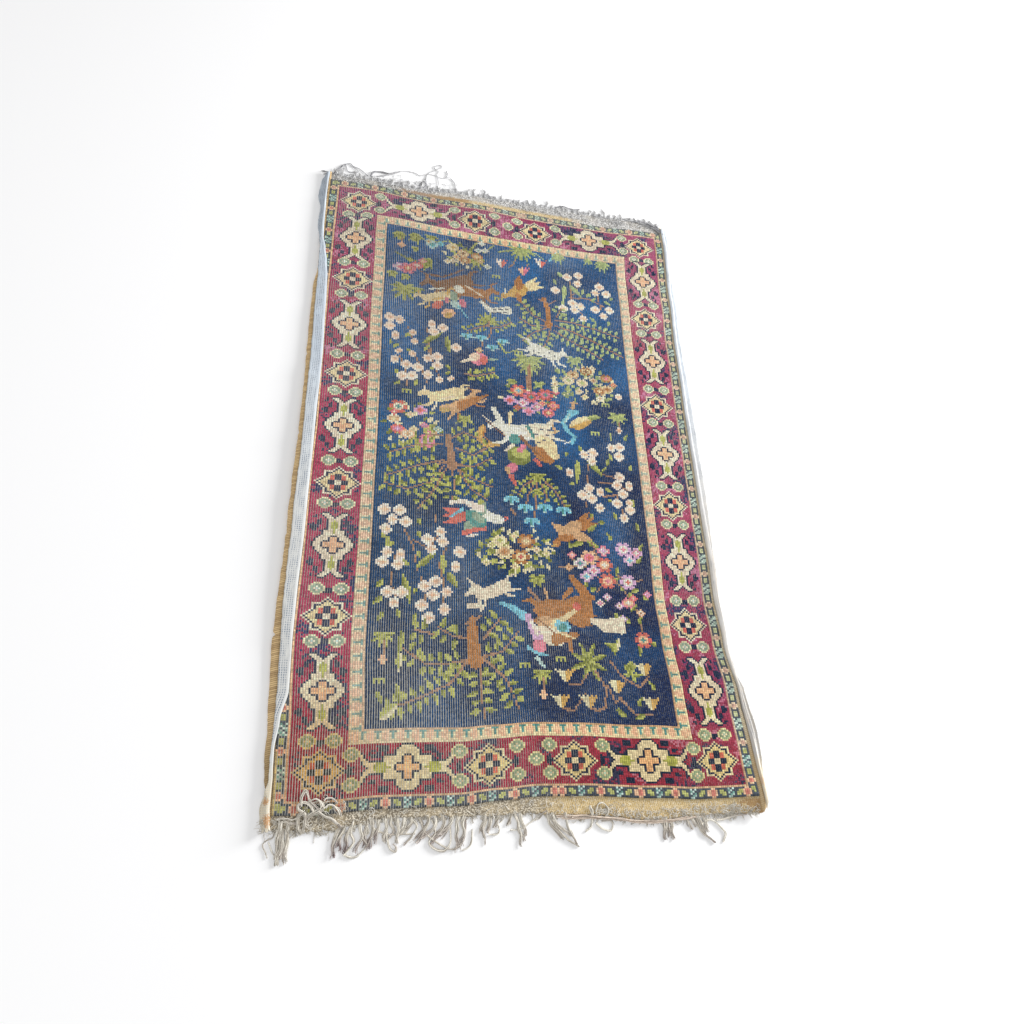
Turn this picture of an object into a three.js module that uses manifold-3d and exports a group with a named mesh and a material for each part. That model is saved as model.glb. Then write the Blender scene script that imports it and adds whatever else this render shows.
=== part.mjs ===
// A small knotted wool rug lying on a floor: the rug, a cotton tape sewn along each long
// edge, and the knotted warp fringe at each end.
//
// Millimetres, +Z up. +X runs across the rug, +Y runs along it towards its top end.
// The origin is on the floor, under the middle of everything.

import * as THREE from "three";
import { mergeVertices } from "three/addons/utils/BufferGeometryUtils.js";
import Module from "manifold-3d";

const wasm = await Module();
wasm.setup();

// Driving dimensions

// One knot of the pile, and how many knots each band of the design has.
const KNOT = { across: 3.4, along: 2.76 };
const KNOTS = {
  field: { across: 138, along: 337 },
  innerGuard: { across: 6, along: 7 },
  mainBorder: { across: 22, along: 24 },
  outerGuard: { across: 5, along: 6 },
};

// Where the middle of the knotted design lies from the origin.
const DESIGN_MIDDLE = { x: -1.21, y: 3.36 };

const PILE_THICKNESS = 6.0;
const FLAT_WEAVE_THICKNESS = 3.0;
const PILE_STEP = 1.5;

const TAPE_THICKNESS = 1.2;
const PIECE_GAP = 0.3;
const TAPE_CLEARS_EDGE = 2.0;
const TAPE_FALL = 9.0;
const TAPE_LAP = 3.0;

const STRIP_WIDTH = 4.0;
const STRIP_THICKNESS = 3.0;

const RUG_STEPS = { across: 24, along: 44 };
// How much the steps crowd towards the rug's edges, where it ripples most.
const EDGE_CROWDING = { across: 0.6, along: 0.4 };
const TAPE_STEPS = { across: 5, along: 54 };

const COLOURS = {
  pile: 0x35508a,
  tape: 0xd9dde0,
  fringe: 0xb9b2a6,
};

// Half the size of the knotted pile, before it is pulled out of square
const HALF_WIDTH = KNOT.across * (KNOTS.field.across / 2 + KNOTS.innerGuard.across
  + KNOTS.mainBorder.across + KNOTS.outerGuard.across);
const HALF_LENGTH = KNOT.along * (KNOTS.field.along / 2 + KNOTS.innerGuard.along
  + KNOTS.mainBorder.along + KNOTS.outerGuard.along);

// How the rug is pulled out of square

// How far each long side of the pile is pulled across, at stations up the rug.
const LEFT_PULL = [
  { y: -570, pull: 0 },
  { y: -470, pull: -2.5 },
  { y: -343, pull: -7.6 },
  { y: -160, pull: -4.2 },
  { y: 60, pull: -1.2 },
  { y: 267, pull: -2.8 },
  { y: 420, pull: -1 },
  { y: 570, pull: 1 },
];
const RIGHT_PULL = [
  { y: -570, pull: 1 },
  { y: -516, pull: 0 },
  { y: -411, pull: -7 },
  { y: -330, pull: -18 },
  { y: -262, pull: -23 },
  { y: -172, pull: -18.5 },
  { y: 27, pull: -16 },
  { y: 255, pull: -11.6 },
  { y: 383, pull: -5.6 },
  { y: 551, pull: 2.7 },
];

// How far each end of the pile is pulled along, at stations across the rug.
const BOTTOM_PULL = [
  { x: -346, pull: -1.5 },
  { x: -300, pull: -3 },
  { x: -211, pull: 2 },
  { x: -105, pull: 2 },
  { x: -49, pull: 7 },
  { x: 8, pull: 10.5 },
  { x: 66, pull: 9 },
  { x: 188, pull: 2.5 },
  { x: 251, pull: -1 },
  { x: 346, pull: 0 },
];
const TOP_PULL = [
  { x: -346, pull: 0 },
  { x: -260, pull: 3 },
  { x: -153, pull: -5 },
  { x: -50, pull: -3 },
  { x: 34, pull: -5 },
  { x: 120, pull: -6 },
  { x: 210, pull: -6 },
  { x: 303, pull: 1 },
  { x: 350, pull: 2 },
];

// A pull at an edge dies away towards the far edge with this power of the distance.
const PULL_POWER = 3;

// How wide the overcast selvedge is on each side, and the flat-woven band at each end.
const LEFT_SELVEDGE = [
  { y: -590, width: 4 },
  { y: -520, width: 5 },
  { y: -490, width: 11 },
  { y: -285, width: 12 },
  { y: 0, width: 11 },
  { y: 300, width: 10 },
  { y: 350, width: 5 },
  { y: 590, width: 5 },
];
const RIGHT_SELVEDGE = [
  { y: -590, width: 8 },
  { y: -516, width: 10 },
  { y: -411, width: 6 },
  { y: -262, width: 10 },
  { y: 27, width: 7 },
  { y: 384, width: 6 },
  { y: 467, width: 8 },
  { y: 590, width: 6 },
];
const BOTTOM_BAND = [
  { x: -346, width: 17 },
  { x: -262, width: 19 },
  { x: -205, width: 12 },
  { x: -105, width: 13 },
  { x: -50, width: 19 },
  { x: 64, width: 25 },
  { x: 184, width: 29 },
  { x: 248, width: 22 },
  { x: 350, width: 22 },
];
const TOP_BAND = [
  { x: -350, width: 16 },
  { x: -213, width: 16 },
  { x: -150, width: 24 },
  { x: -50, width: 28 },
  { x: 214, width: 32 },
  { x: 307, width: 28 },
  { x: 365, width: 22 },
];

// Places where the rug doesn't lie quite flat: a soft swell each, on an oval patch.
const SWELLS = [
  { x: -190, y: 465, across: 150, along: 80, height: 8 },
  { x: -50, y: 528, across: 130, along: 42, height: 6 },
  { x: 240, y: 500, across: 110, along: 60, height: 4 },
  { x: -375, y: -80, across: 75, along: 400, height: 5 },
  { x: 360, y: -262, across: 90, along: 130, height: 6 },
  { x: 20, y: -495, across: 160, along: 62, height: 4 },
  { x: 375, y: -590, across: 95, along: 100, height: 9 },
];

// The two tapes, at stations up the rug: their outer and inner edges. The left one lies
// folded over the pile in the middle, and turns outward at the corners.
const LEFT_TAPE = [
  { y: -586, outer: -356, inner: -346 },
  { y: -573, outer: -360.5, inner: -348 },
  { y: -558, outer: -361.5, inner: -349 },
  { y: -542, outer: -357.5, inner: -349 },
  { y: -526, outer: -354, inner: -349 },
  { y: -507, outer: -354.5, inner: -350 },
  { y: -489, outer: -354.5, inner: -350.5 },
  { y: -452, outer: -353.6, inner: -346.6 },
  { y: -412, outer: -354, inner: -338.8 },
  { y: -343, outer: -356, inner: -340 },
  { y: -285, outer: -357.4, inner: -339.5 },
  { y: -160, outer: -355.6, inner: -336.5 },
  { y: 0, outer: -352.6, inner: -335 },
  { y: 155, outer: -352.3, inner: -333 },
  { y: 264, outer: -353, inner: -335 },
  { y: 320, outer: -353.5, inner: -336.5 },
  { y: 358, outer: -354, inner: -340 },
  { y: 386, outer: -354.4, inner: -344 },
  { y: 417, outer: -357.5, inner: -349.5 },
  { y: 449, outer: -361.5, inner: -350.5 },
  { y: 492, outer: -361, inner: -350.5 },
  { y: 518, outer: -366, inner: -351 },
  { y: 558, outer: -363.5, inner: -350 },
  { y: 584, outer: -357, inner: -348.5 },
];
const RIGHT_TAPE = [
  { y: -584, outer: 354 },
  { y: -573, outer: 360 },
  { y: -559, outer: 363.5 },
  { y: -531, outer: 366.5 },
  { y: -502, outer: 368.7 },
  { y: -472, outer: 368 },
  { y: -411, outer: 359.6 },
  { y: -379, outer: 350 },
  { y: -330, outer: 342.5 },
  { y: -262, outer: 343 },
  { y: -190, outer: 347 },
  { y: -34, outer: 353 },
  { y: 139, outer: 355.5 },
  { y: 283, outer: 355 },
  { y: 386, outer: 360 },
  { y: 468, outer: 361 },
  { y: 561, outer: 367.5 },
  { y: 584, outer: 366 },
];
// The right tape puckers into soft lengthwise folds where it is widest.
const TAPE_PUCKER = { height: 1.6, folds: 2.5, from: -380, to: -560 };

// The bottom fringe: clumps of locks, from the left. Each lock leans sideways by "lean" at
// its tip and swings out by "bow" on its way.
const BOTTOM_LOCKS = [
  { from: -340, to: -322, locks: 3, length: 40, lean: 0, bow: 1 },
  { from: -304, to: -304, locks: 1, length: 9, lean: -2, bow: 0 },
  { from: -262, to: -246, locks: 3, length: 34, lean: -6, bow: -3 },
  { from: -236, to: -214, locks: 4, length: 40, lean: -2, bow: 2 },
  { from: -205, to: -189, locks: 3, length: 34, lean: 1, bow: 2 },
  { from: -178, to: -170, locks: 2, length: 26, lean: -8, bow: 2 },
  { from: -150, to: -118, locks: 5, length: 36, lean: -14, bow: 6 },
  { from: -108, to: -96, locks: 3, length: 46, lean: -2, bow: -2 },
  { from: -70, to: -62, locks: 2, length: 30, lean: 6, bow: 0 },
  { from: -50, to: -34, locks: 3, length: 16, lean: -5, bow: 0 },
  { from: -24, to: -17, locks: 2, length: 38, lean: 10, bow: 2 },
  { from: -4, to: 3, locks: 2, length: 14, lean: 4, bow: 0 },
  { from: 18, to: 34, locks: 3, length: 40, lean: 24, bow: -3 },
  { from: 63, to: 70, locks: 2, length: 18, lean: -7, bow: 0 },
  { from: 87, to: 94, locks: 2, length: 14, lean: 4, bow: 2 },
  { from: 184, to: 198, locks: 3, length: 30, lean: 0, bow: 0 },
  { from: 214, to: 230, locks: 3, length: 20, lean: 2, bow: 0 },
  { from: 244, to: 252, locks: 2, length: 31, lean: 12, bow: 2 },
  { from: 272, to: 280, locks: 2, length: 28, lean: 5, bow: -2 },
];
const BOTTOM_STRIP = { from: -343, to: 288 };
const BOTTOM_LOCK = { width: 4.4, tipWidth: 2.0, height: 3.0, tipHeight: 1.6, steps: 5 };

// A few bottom locks are turned back and lie over the corner of the rug.
const TURNED_LOCKS = [
  { x: -299, length: 40, lean: -4, bow: -4 },
  { x: -290, length: 52, lean: 2, bow: -5 },
  { x: -281, length: 34, lean: 8, bow: -3 },
  { x: -270, length: 44, lean: 14, bow: -2 },
];
const TURNED_LOCK = { width: 4.0, tipWidth: 2.0, height: 2.6, tipHeight: 1.6, steps: 10 };
// How high a turned lock's underside is, at distances from its root towards the rug.
const TURNED_RISE = [
  { away: 0, under: 1.2 },
  { away: 0.8, under: 1.2 },
  { away: 1.9, under: 3.6 },
  { away: 13, under: 3.6 },
  { away: 18, under: 6.7 },
];

// The top fringe is a short worn fuzz of even locks of changing length.
const TOP_STRIP = { from: -344, to: 352 };
const TOP_LOCKS = { from: -339, to: 346, locks: 58, shortest: 11, longest: 27, lean: 4 };
const TOP_LOCK = { width: 5.0, tipWidth: 2.2, height: 3.0, tipHeight: 1.6, steps: 3 };

// Helpers

const mix = (a, b, t) => a + (b - a) * t;
const clamp01 = (t) => Math.min(1, Math.max(0, t));
const smooth = (t) => clamp01(t) ** 2 * (3 - 2 * clamp01(t));
const crowd = (t, amount) => mix(t, 0.5 - 0.5 * Math.cos(Math.PI * t), amount);

// Reads a column of a table at a station, by smooth steps from row to row.
function readTable(rows, key, at, column) {
  if (at <= rows[0][key]) {
    return rows[0][column];
  }
  for (let i = 1; i < rows.length; i += 1) {
    if (at <= rows[i][key]) {
      const t = (at - rows[i - 1][key]) / (rows[i][key] - rows[i - 1][key]);
      return mix(rows[i - 1][column], rows[i][column], smooth(t));
    }
  }
  return rows[rows.length - 1][column];
}

// A closed box of across x along x up cells, bent to shape: place() takes the three
// fractions from 0 to 1 and gives the point.
function bentBox(across, along, up, place) {
  const box = new THREE.BoxGeometry(1, 1, 1, across, along, up);
  box.deleteAttribute("normal");
  box.deleteAttribute("uv");
  const geometry = mergeVertices(box, 1e-5);
  geometry.clearGroups();
  const position = geometry.attributes.position;
  const corner = new THREE.Vector3();
  for (let i = 0; i < position.count; i += 1) {
    corner.fromBufferAttribute(position, i).addScalar(0.5);
    position.setXYZ(i, ...place(corner.x, corner.y, corner.z));
  }
  return geometry;
}

function toManifold(geometry) {
  return new wasm.Manifold(new wasm.Mesh({
    numProp: 3,
    vertProperties: Float32Array.from(geometry.attributes.position.array),
    triVerts: Uint32Array.from(geometry.index.array),
  }));
}

function toGeometry(manifold) {
  const mesh = manifold.getMesh();
  const geometry = new THREE.BufferGeometry();
  geometry.setAttribute("position", new THREE.BufferAttribute(mesh.vertProperties, 3));
  geometry.setIndex(new THREE.BufferAttribute(mesh.triVerts, 1));
  return geometry;
}

// The rug's own surface

const leftPull = (y) => readTable(LEFT_PULL, "y", y, "pull");
const rightPull = (y) => readTable(RIGHT_PULL, "y", y, "pull");
const bottomPull = (x) => readTable(BOTTOM_PULL, "x", x, "pull");
const topPull = (x) => readTable(TOP_PULL, "x", x, "pull");

// Moves a point of the square design to where the pulled rug has it.
function pulled(x, y) {
  const right = clamp01((x + HALF_WIDTH) / (2 * HALF_WIDTH));
  const top = clamp01((y + HALF_LENGTH) / (2 * HALF_LENGTH));
  const across = rightPull(y) * right ** PULL_POWER + leftPull(y) * (1 - right) ** PULL_POWER;
  const along = topPull(x) * top ** PULL_POWER + bottomPull(x) * (1 - top) ** PULL_POWER;
  return [x + across, y + along];
}

// How far the rug's underside is off the floor.
function lift(x, y) {
  let height = 0;
  for (const swell of SWELLS) {
    const reach = Math.hypot((x - swell.x) / swell.across, (y - swell.y) / swell.along);
    height += swell.height * Math.cos(0.5 * Math.PI * clamp01(reach)) ** 2;
  }
  return height;
}

const leftEdge = (y) => -HALF_WIDTH + leftPull(y) - readTable(LEFT_SELVEDGE, "y", y, "width");
const rightEdge = (y) => HALF_WIDTH + rightPull(y) + readTable(RIGHT_SELVEDGE, "y", y, "width");
const bottomEdge = (x) => -HALF_LENGTH + bottomPull(x) - readTable(BOTTOM_BAND, "x", x, "width");
const topEdge = (x) => HALF_LENGTH + topPull(x) + readTable(TOP_BAND, "x", x, "width");

// The rug's grid has a selvedge column on each side, and on each end a row at the foot of
// the pile and one at the outer end of the flat weave.
const COLUMNS = RUG_STEPS.across + 2;
const ROWS = RUG_STEPS.along + 4;

// Where the rug's grid has a corner of its cells, seen from above.
function rugPoint(column, row) {
  const inX = crowd(clamp01((column - 1) / RUG_STEPS.across), EDGE_CROWDING.across);
  const inY = crowd(clamp01((row - 2) / RUG_STEPS.along), EDGE_CROWDING.along);
  const squareX = mix(-HALF_WIDTH, HALF_WIDTH, inX);
  const squareY = mix(-HALF_LENGTH + PILE_STEP, HALF_LENGTH - PILE_STEP, inY);
  let [x, y] = pulled(squareX, squareY);
  if (row < 2) {
    y = row === 0 ? bottomEdge(squareX) : y - PILE_STEP;
  }
  if (row > ROWS - 2) {
    y = row === ROWS ? topEdge(squareX) : y + PILE_STEP;
  }
  if (column === 0) {
    x = leftEdge(y);
  }
  if (column === COLUMNS) {
    x = rightEdge(y);
  }
  return { x, y };
}

// The rug is one solid: pile in the middle, thinner flat weave at the two ends.
function rugGeometry() {
  return bentBox(COLUMNS, ROWS, 1, (u, v, w) => {
    const row = Math.round(v * ROWS);
    const { x, y } = rugPoint(Math.round(u * COLUMNS), row);
    const onPile = row > 1 && row < ROWS - 1;
    const thickness = onPile ? PILE_THICKNESS : FLAT_WEAVE_THICKNESS;
    return [x, y, lift(x, y) + w * thickness];
  });
}

// The corners along one end of the rug, from left to right.
const endCorners = (row) => Array.from({ length: COLUMNS + 1 }, (_, i) => rugPoint(i, row));

// The side tapes

// The height of a tape's underside: on the pile, then clear of the edge and down to the floor.
function tapeRest(x, y, edge, side) {
  const beyond = (x - edge) * side;
  const onRug = lift(edge, y) + PILE_THICKNESS + PIECE_GAP;
  const overRug = lift(x, y) + PILE_THICKNESS + PIECE_GAP;
  if (beyond <= 0) {
    return overRug;
  }
  return mix(onRug, 0, smooth((beyond - TAPE_CLEARS_EDGE) / TAPE_FALL));
}

function tapeGeometry(rows, side, edgeAt, innerAt, pucker) {
  const first = rows[0].y;
  const last = rows[rows.length - 1].y;
  return bentBox(TAPE_STEPS.across, TAPE_STEPS.along, 1, (u, v, w) => {
    const y = mix(first, last, v);
    const outer = readTable(rows, "y", y, "outer");
    const inner = innerAt(y);
    const x = side > 0 ? mix(inner, outer, u) : mix(outer, inner, u);
    const outward = side > 0 ? u : 1 - u;
    const rest = tapeRest(x, y, edgeAt(y), side);
    return [x, y, rest + pucker(outward, y) + w * TAPE_THICKNESS];
  });
}

// Soft lengthwise folds, none at the seam and most at mid-length of the puckered stretch.
function rightPucker(outward, y) {
  const { height, folds, from, to } = TAPE_PUCKER;
  const along = clamp01((y - from) / (to - from));
  const strength = Math.sin(Math.PI * along) * smooth(outward * 3);
  return height * strength * Math.sin(folds * Math.PI * outward) ** 2;
}

// The fringes

// One lock lying on the floor: four-sided, tapering, curving sideways as it goes.
// heading is -1 for the bottom end and 1 for the top end.
function lockGeometry(rootX, rootY, heading, lock, shape) {
  return bentBox(1, shape.steps, 1, (u, v, w) => {
    const x = rootX + lock.lean * v ** 1.5 + lock.bow * Math.sin(Math.PI * v);
    const y = rootY + heading * lock.length * v;
    const width = mix(shape.width, shape.tipWidth, v);
    const height = mix(shape.height, shape.tipHeight, v);
    return [x + heading * (u - 0.5) * width, y, w * height];
  });
}

// A lock turned back from the bottom strip, up over the flat weave and onto the pile. Its
// steps are short at the root, where it climbs.
function turnedLockGeometry(lock, rootY) {
  const shape = TURNED_LOCK;
  return bentBox(1, shape.steps, 1, (u, v, w) => {
    const away = lock.length * v ** 2;
    const x = lock.x + lock.lean * v ** 2 + lock.bow * Math.sin(Math.PI * v ** 2);
    const width = mix(shape.width, shape.tipWidth, v);
    const height = mix(shape.height, shape.tipHeight, v);
    const under = readTable(TURNED_RISE, "away", away, "under");
    return [x + (u - 0.5) * width, rootY + away, under + w * height];
  });
}

// The end of the rug at one place across, straight from corner to corner.
function endAt(corners, x) {
  const next = corners.findIndex((corner) => corner.x >= x);
  const [a, b] = [corners[next - 1], corners[next]];
  return mix(a.y, b.y, (x - a.x) / (b.x - a.x));
}

// The woven strip that holds the locks, a gap off the end of the rug. It turns where the
// rug's end turns, so the gap stays even.
function stripGeometry({ from, to }, corners, heading) {
  const inside = corners.filter((corner) => corner.x > from && corner.x < to);
  const stations = [from, ...inside.map((corner) => corner.x), to];
  const steps = stations.length - 1;
  return bentBox(steps, 1, 1, (u, v, w) => {
    const x = stations[Math.round(u * steps)];
    const outward = heading > 0 ? v : 1 - v;
    const y = endAt(corners, x) + heading * (PIECE_GAP + outward * STRIP_WIDTH);
    return [x, y, w * STRIP_THICKNESS];
  });
}

function fringeGeometry(strip, corners, heading, locks, shape, turned) {
  const rootY = (x) => endAt(corners, x) + heading * (PIECE_GAP + STRIP_WIDTH / 2);
  const solids = [
    stripGeometry(strip, corners, heading),
    ...locks.map((lock) => lockGeometry(lock.x, rootY(lock.x), heading, lock, shape)),
    ...turned.map((lock) => turnedLockGeometry(lock, rootY(lock.x))),
  ];
  return toGeometry(wasm.Manifold.union(solids.map(toManifold)));
}

function bottomLocks() {
  return BOTTOM_LOCKS.flatMap(({ from, to, locks, length, lean, bow }) =>
    Array.from({ length: locks }, (_, i) => {
      const x = locks > 1 ? mix(from, to, i / (locks - 1)) : from;
      return { x, length: length * (1 - 0.12 * (i % 2)) + STRIP_WIDTH / 2, lean, bow };
    }));
}

function topLocks() {
  const { from, to, locks, shortest, longest, lean } = TOP_LOCKS;
  return Array.from({ length: locks }, (_, i) => {
    const long = (0.5 + 0.5 * Math.sin(2.3 * i)) * (0.6 + 0.4 * Math.sin(0.55 * i + 1));
    return {
      x: mix(from, to, i / (locks - 1)),
      length: mix(shortest, longest, long) + STRIP_WIDTH / 2,
      lean: lean * Math.sin(0.9 * i),
      bow: 0,
    };
  });
}

// Assembly

function material(color, roughness) {
  return new THREE.MeshStandardMaterial({ color, roughness, metalness: 0 });
}

const rug = new THREE.Group();
rug.position.set(DESIGN_MIDDLE.x, DESIGN_MIDDLE.y, 0);

function addPiece(name, geometry, color, roughness) {
  const mesh = new THREE.Mesh(geometry, material(color, roughness));
  mesh.name = name;
  rug.add(mesh);
}

const rightSeam = (y) => rightEdge(y) - TAPE_LAP;
const leftInner = (y) => readTable(LEFT_TAPE, "y", y, "inner");

addPiece("rug", rugGeometry(), COLOURS.pile, 0.95);
addPiece("side_tape_left", tapeGeometry(LEFT_TAPE, -1, leftEdge, leftInner, () => 0),
  COLOURS.tape, 0.9);
addPiece("side_tape_right", tapeGeometry(RIGHT_TAPE, 1, rightEdge, rightSeam, rightPucker),
  COLOURS.tape, 0.9);
addPiece("fringe_top",
  fringeGeometry(TOP_STRIP, endCorners(ROWS), 1, topLocks(), TOP_LOCK, []),
  COLOURS.fringe, 0.95);
addPiece("fringe_bottom",
  fringeGeometry(BOTTOM_STRIP, endCorners(0), -1, bottomLocks(), BOTTOM_LOCK, TURNED_LOCKS),
  COLOURS.fringe, 0.95);

const assembly = new THREE.Group();
assembly.add(rug);

export default assembly;
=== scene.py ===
# %% [markdown]
# # A worn garden rug, knot by knot
# This lesson dresses a measured frame as a small hand-knotted rug. The frame holds the true
# sizes of five pieces: the rug, a cotton tape along each side, and a fringe at each end. The
# script reads that frame, then builds the cloth over it in numpy: 83,844 knots whose colours
# come from a drawing made by functions, then the edges, the tapes and the loose threads.
# Lengths are in millimetres from the middle of the knotted design, and the mesh helper turns
# them into Blender's metres.

# %% The frame
from functools import partial
import bpy
import numpy as np
from mathutils import Matrix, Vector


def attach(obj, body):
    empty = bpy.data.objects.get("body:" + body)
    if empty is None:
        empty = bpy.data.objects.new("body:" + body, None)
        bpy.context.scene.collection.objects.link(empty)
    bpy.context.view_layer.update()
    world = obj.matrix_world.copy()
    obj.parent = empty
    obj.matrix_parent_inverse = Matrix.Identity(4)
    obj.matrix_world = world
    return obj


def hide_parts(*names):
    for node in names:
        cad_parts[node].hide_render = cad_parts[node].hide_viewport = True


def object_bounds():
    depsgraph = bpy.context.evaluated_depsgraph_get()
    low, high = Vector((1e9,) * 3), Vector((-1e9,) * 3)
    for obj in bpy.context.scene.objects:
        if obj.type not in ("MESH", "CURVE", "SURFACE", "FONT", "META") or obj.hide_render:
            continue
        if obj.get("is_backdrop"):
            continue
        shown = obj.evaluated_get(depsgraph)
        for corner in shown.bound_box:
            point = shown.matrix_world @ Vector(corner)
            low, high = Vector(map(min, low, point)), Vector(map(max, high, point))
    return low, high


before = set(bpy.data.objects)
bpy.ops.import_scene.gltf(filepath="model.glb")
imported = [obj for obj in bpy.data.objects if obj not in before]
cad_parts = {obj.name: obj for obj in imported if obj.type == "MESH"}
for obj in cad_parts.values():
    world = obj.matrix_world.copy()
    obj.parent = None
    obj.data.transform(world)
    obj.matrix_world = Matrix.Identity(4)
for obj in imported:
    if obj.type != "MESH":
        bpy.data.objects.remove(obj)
cad_low, cad_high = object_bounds()
cad_size = [round(1000 * (high - low), 1) for low, high in zip(cad_low, cad_high)]
print("frame:", sorted(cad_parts), "size in mm:", cad_size)

MILLIMETRE = 0.001
# Where the middle of the knotted design lies from the frame's origin.
DESIGN_MIDDLE = np.array([-1.21, 3.36, 0.0])

# %% [markdown]
# ## Camera, floor and light
# A rug on a floor is seen from standing height, so the camera looks down at it and the far end
# is smaller. The place and the lens were worked out from the border: its four straight bands
# are right-angled in the rug, so the way they lean in a picture fixes the viewpoint. A large
# window-like light from the right and a bright pale world keep the shadows soft.

# %% Camera
CAMERA_PLACE = np.array([-282.50, -597.47, 1001.97])
CAMERA_TURN = np.array([-3.54402473, -0.01926710, -0.44944965])
LENS = 24.41
PILE_THICKNESS = 6.0


def turn_matrix(turn):
    """The rotation about an axis by the axis' length in radians (Rodrigues' formula)."""
    angle = np.linalg.norm(turn)
    x, y, z = turn / angle
    cross = np.array([[0, -z, y], [z, 0, -x], [-y, x, 0]])
    return np.eye(3) + np.sin(angle) * cross + (1 - np.cos(angle)) * cross @ cross


def shown(name, data):
    """A new object, linked to the scene."""
    made = bpy.data.objects.new(name, data)
    bpy.context.scene.collection.objects.link(made)
    return made


right, down, ahead = turn_matrix(CAMERA_TURN)
camera = shown("camera", bpy.data.cameras.new("camera"))
camera.data.lens, camera.data.sensor_width = LENS, 36
camera.data.clip_start = 0.01
place = (CAMERA_PLACE + DESIGN_MIDDLE + (0, 0, PILE_THICKNESS)) * MILLIMETRE
world_matrix = np.eye(4)
world_matrix[:3] = np.column_stack([right, -down, -ahead, place])
camera.matrix_world = Matrix(world_matrix.tolist())
bpy.context.scene.camera = camera
print("camera", place.round(3), "looks down at", round(np.degrees(np.arcsin(-ahead[2])), 1))

# %% Floor, lights and world
FLOOR_HALF, FLOOR_COLOUR, WORLD_STRENGTH = 12.0, (0.93, 0.93, 0.935, 1), 0.64


def set_inputs(node, **values):
    """Gives constants to the sockets of a node."""
    for name, value in values.items():
        node.inputs[name.replace("_", " ")].default_value = value


floor_mesh = bpy.data.meshes.new("floor")
floor_mesh.from_pydata([(x * FLOOR_HALF, y * FLOOR_HALF, 0)
                        for x, y in ((-1, -1), (1, -1), (1, 1), (-1, 1))], [], [(0, 1, 2, 3)])
shown("floor", floor_mesh)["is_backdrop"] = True
paper = bpy.data.materials.new("pale floor")
paper.use_nodes = True
set_inputs(paper.node_tree.nodes["Principled BSDF"], Base_Color=FLOOR_COLOUR, Roughness=0.9)
floor_mesh.materials.append(paper)


def softbox(name, place, size, power):
    """A square area light at a place in metres, turned to the origin."""
    light = shown(name, bpy.data.lights.new(name, "AREA"))
    light.data.energy, light.data.size = power, size
    light.location = place
    light.rotation_euler = (-light.location).to_track_quat("-Z", "Y").to_euler()


softbox("window", (2.8, 1.0, 0.8), 1.1, 180)
softbox("fill", (-1.2, -2.2, 3.2), 3.0, 30)
world = bpy.data.worlds.new("pale room")
bpy.context.scene.world = world
world.use_nodes = True
set_inputs(world.node_tree.nodes["Background"], Color=(1, 1, 1, 1), Strength=WORLD_STRENGTH)
bpy.context.scene.view_settings.view_transform = "Standard"

# %% [markdown]
# ## Knots
# A knotted rug is a grid. Each knot is one dot of colour, a little wider than it is tall, and
# the weaver reads the colours off a squared drawing, the cartoon. So the grid comes first: how
# many knots the field has, and how many each band of the border takes.

# %% The grid of knots
KNOT_ACROSS, KNOT_ALONG = 3.4, 2.76
FIELD = np.array([138, 337])
INNER_GUARD = np.array([6, 7])
MAIN_BORDER = np.array([22, 24])
OUTER_GUARD = np.array([5, 6])

COLUMNS, ROWS = FIELD + 2 * (INNER_GUARD + MAIN_BORDER + OUTER_GUARD)
HALF_WIDTH, HALF_LENGTH = COLUMNS * KNOT_ACROSS / 2, ROWS * KNOT_ALONG / 2
column_x = (np.arange(COLUMNS) + 0.5) * KNOT_ACROSS - HALF_WIDTH
row_y = (np.arange(ROWS) + 0.5) * KNOT_ALONG - HALF_LENGTH
print(f"{COLUMNS} x {ROWS} knots on {2 * HALF_WIDTH:.0f} x {2 * HALF_LENGTH:.0f} mm")

# %% [markdown]
# ## How the rug lies
# No old rug is square. Each edge of this one is pulled in or out a little, and the cloth rises
# in a few low swells. Both are smooth functions of the place on the square design: a pull is
# read from a short table along the edge and dies away towards the far edge, and a swell is a
# cosine bump on an oval patch. Everything that is woven or sewn on goes through them, so the
# pieces always meet.

# %% Reading a table smoothly
def table(text, width=2):
    """The numbers of a text, in rows of so many."""
    return np.array(text.split(), float).reshape(-1, width)


def smooth(share):
    """The smooth step 3t^2 - 2t^3, level below 0 and above 1."""
    share = np.clip(share, 0, 1)
    return share * share * (3 - 2 * share)


def read_table(rows, at):
    """Goes from row to row by smooth steps, and stays level past the ends."""
    keys, values = rows.T
    after = np.clip(np.searchsorted(keys, at), 1, len(keys) - 1)
    step = smooth((at - keys[after - 1]) / (keys[after] - keys[after - 1]))
    return values[after - 1] + (values[after] - values[after - 1]) * step


# %% Pulls, swells and edges
LEFT_PULL = table("-570 0  -470 -2.5  -343 -7.6  -160 -4.2  60 -1.2  267 -2.8  420 -1  570 1")
RIGHT_PULL = table("""
    -570 1  -516 0  -411 -7  -330 -18  -262 -23  -172 -18.5  27 -16  255 -11.6  383 -5.6
    551 2.7""")
BOTTOM_PULL = table("""
    -346 -1.5  -300 -3  -211 2  -105 2  -49 7  8 10.5  66 9  188 2.5  251 -1  346 0""")
TOP_PULL = table("-346 0  -260 3  -153 -5  -50 -3  34 -5  120 -6  210 -6  303 1  350 2")
LEFT_SELVEDGE = table("-590 4  -552 5  -524 11.5  -490 12.5  -285 12  0 11  300 10  350 5  590 5")
RIGHT_SELVEDGE = table("-590 8  -516 10  -411 6  -262 10  27 7  384 6  467 8  590 6")
BOTTOM_BAND = table("-346 17  -262 19  -205 12  -105 13  -50 19  64 25  184 29  248 22  350 22")
TOP_BAND = table("-350 16  -213 16  -150 24  -50 28  214 32  307 28  365 22")
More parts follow.
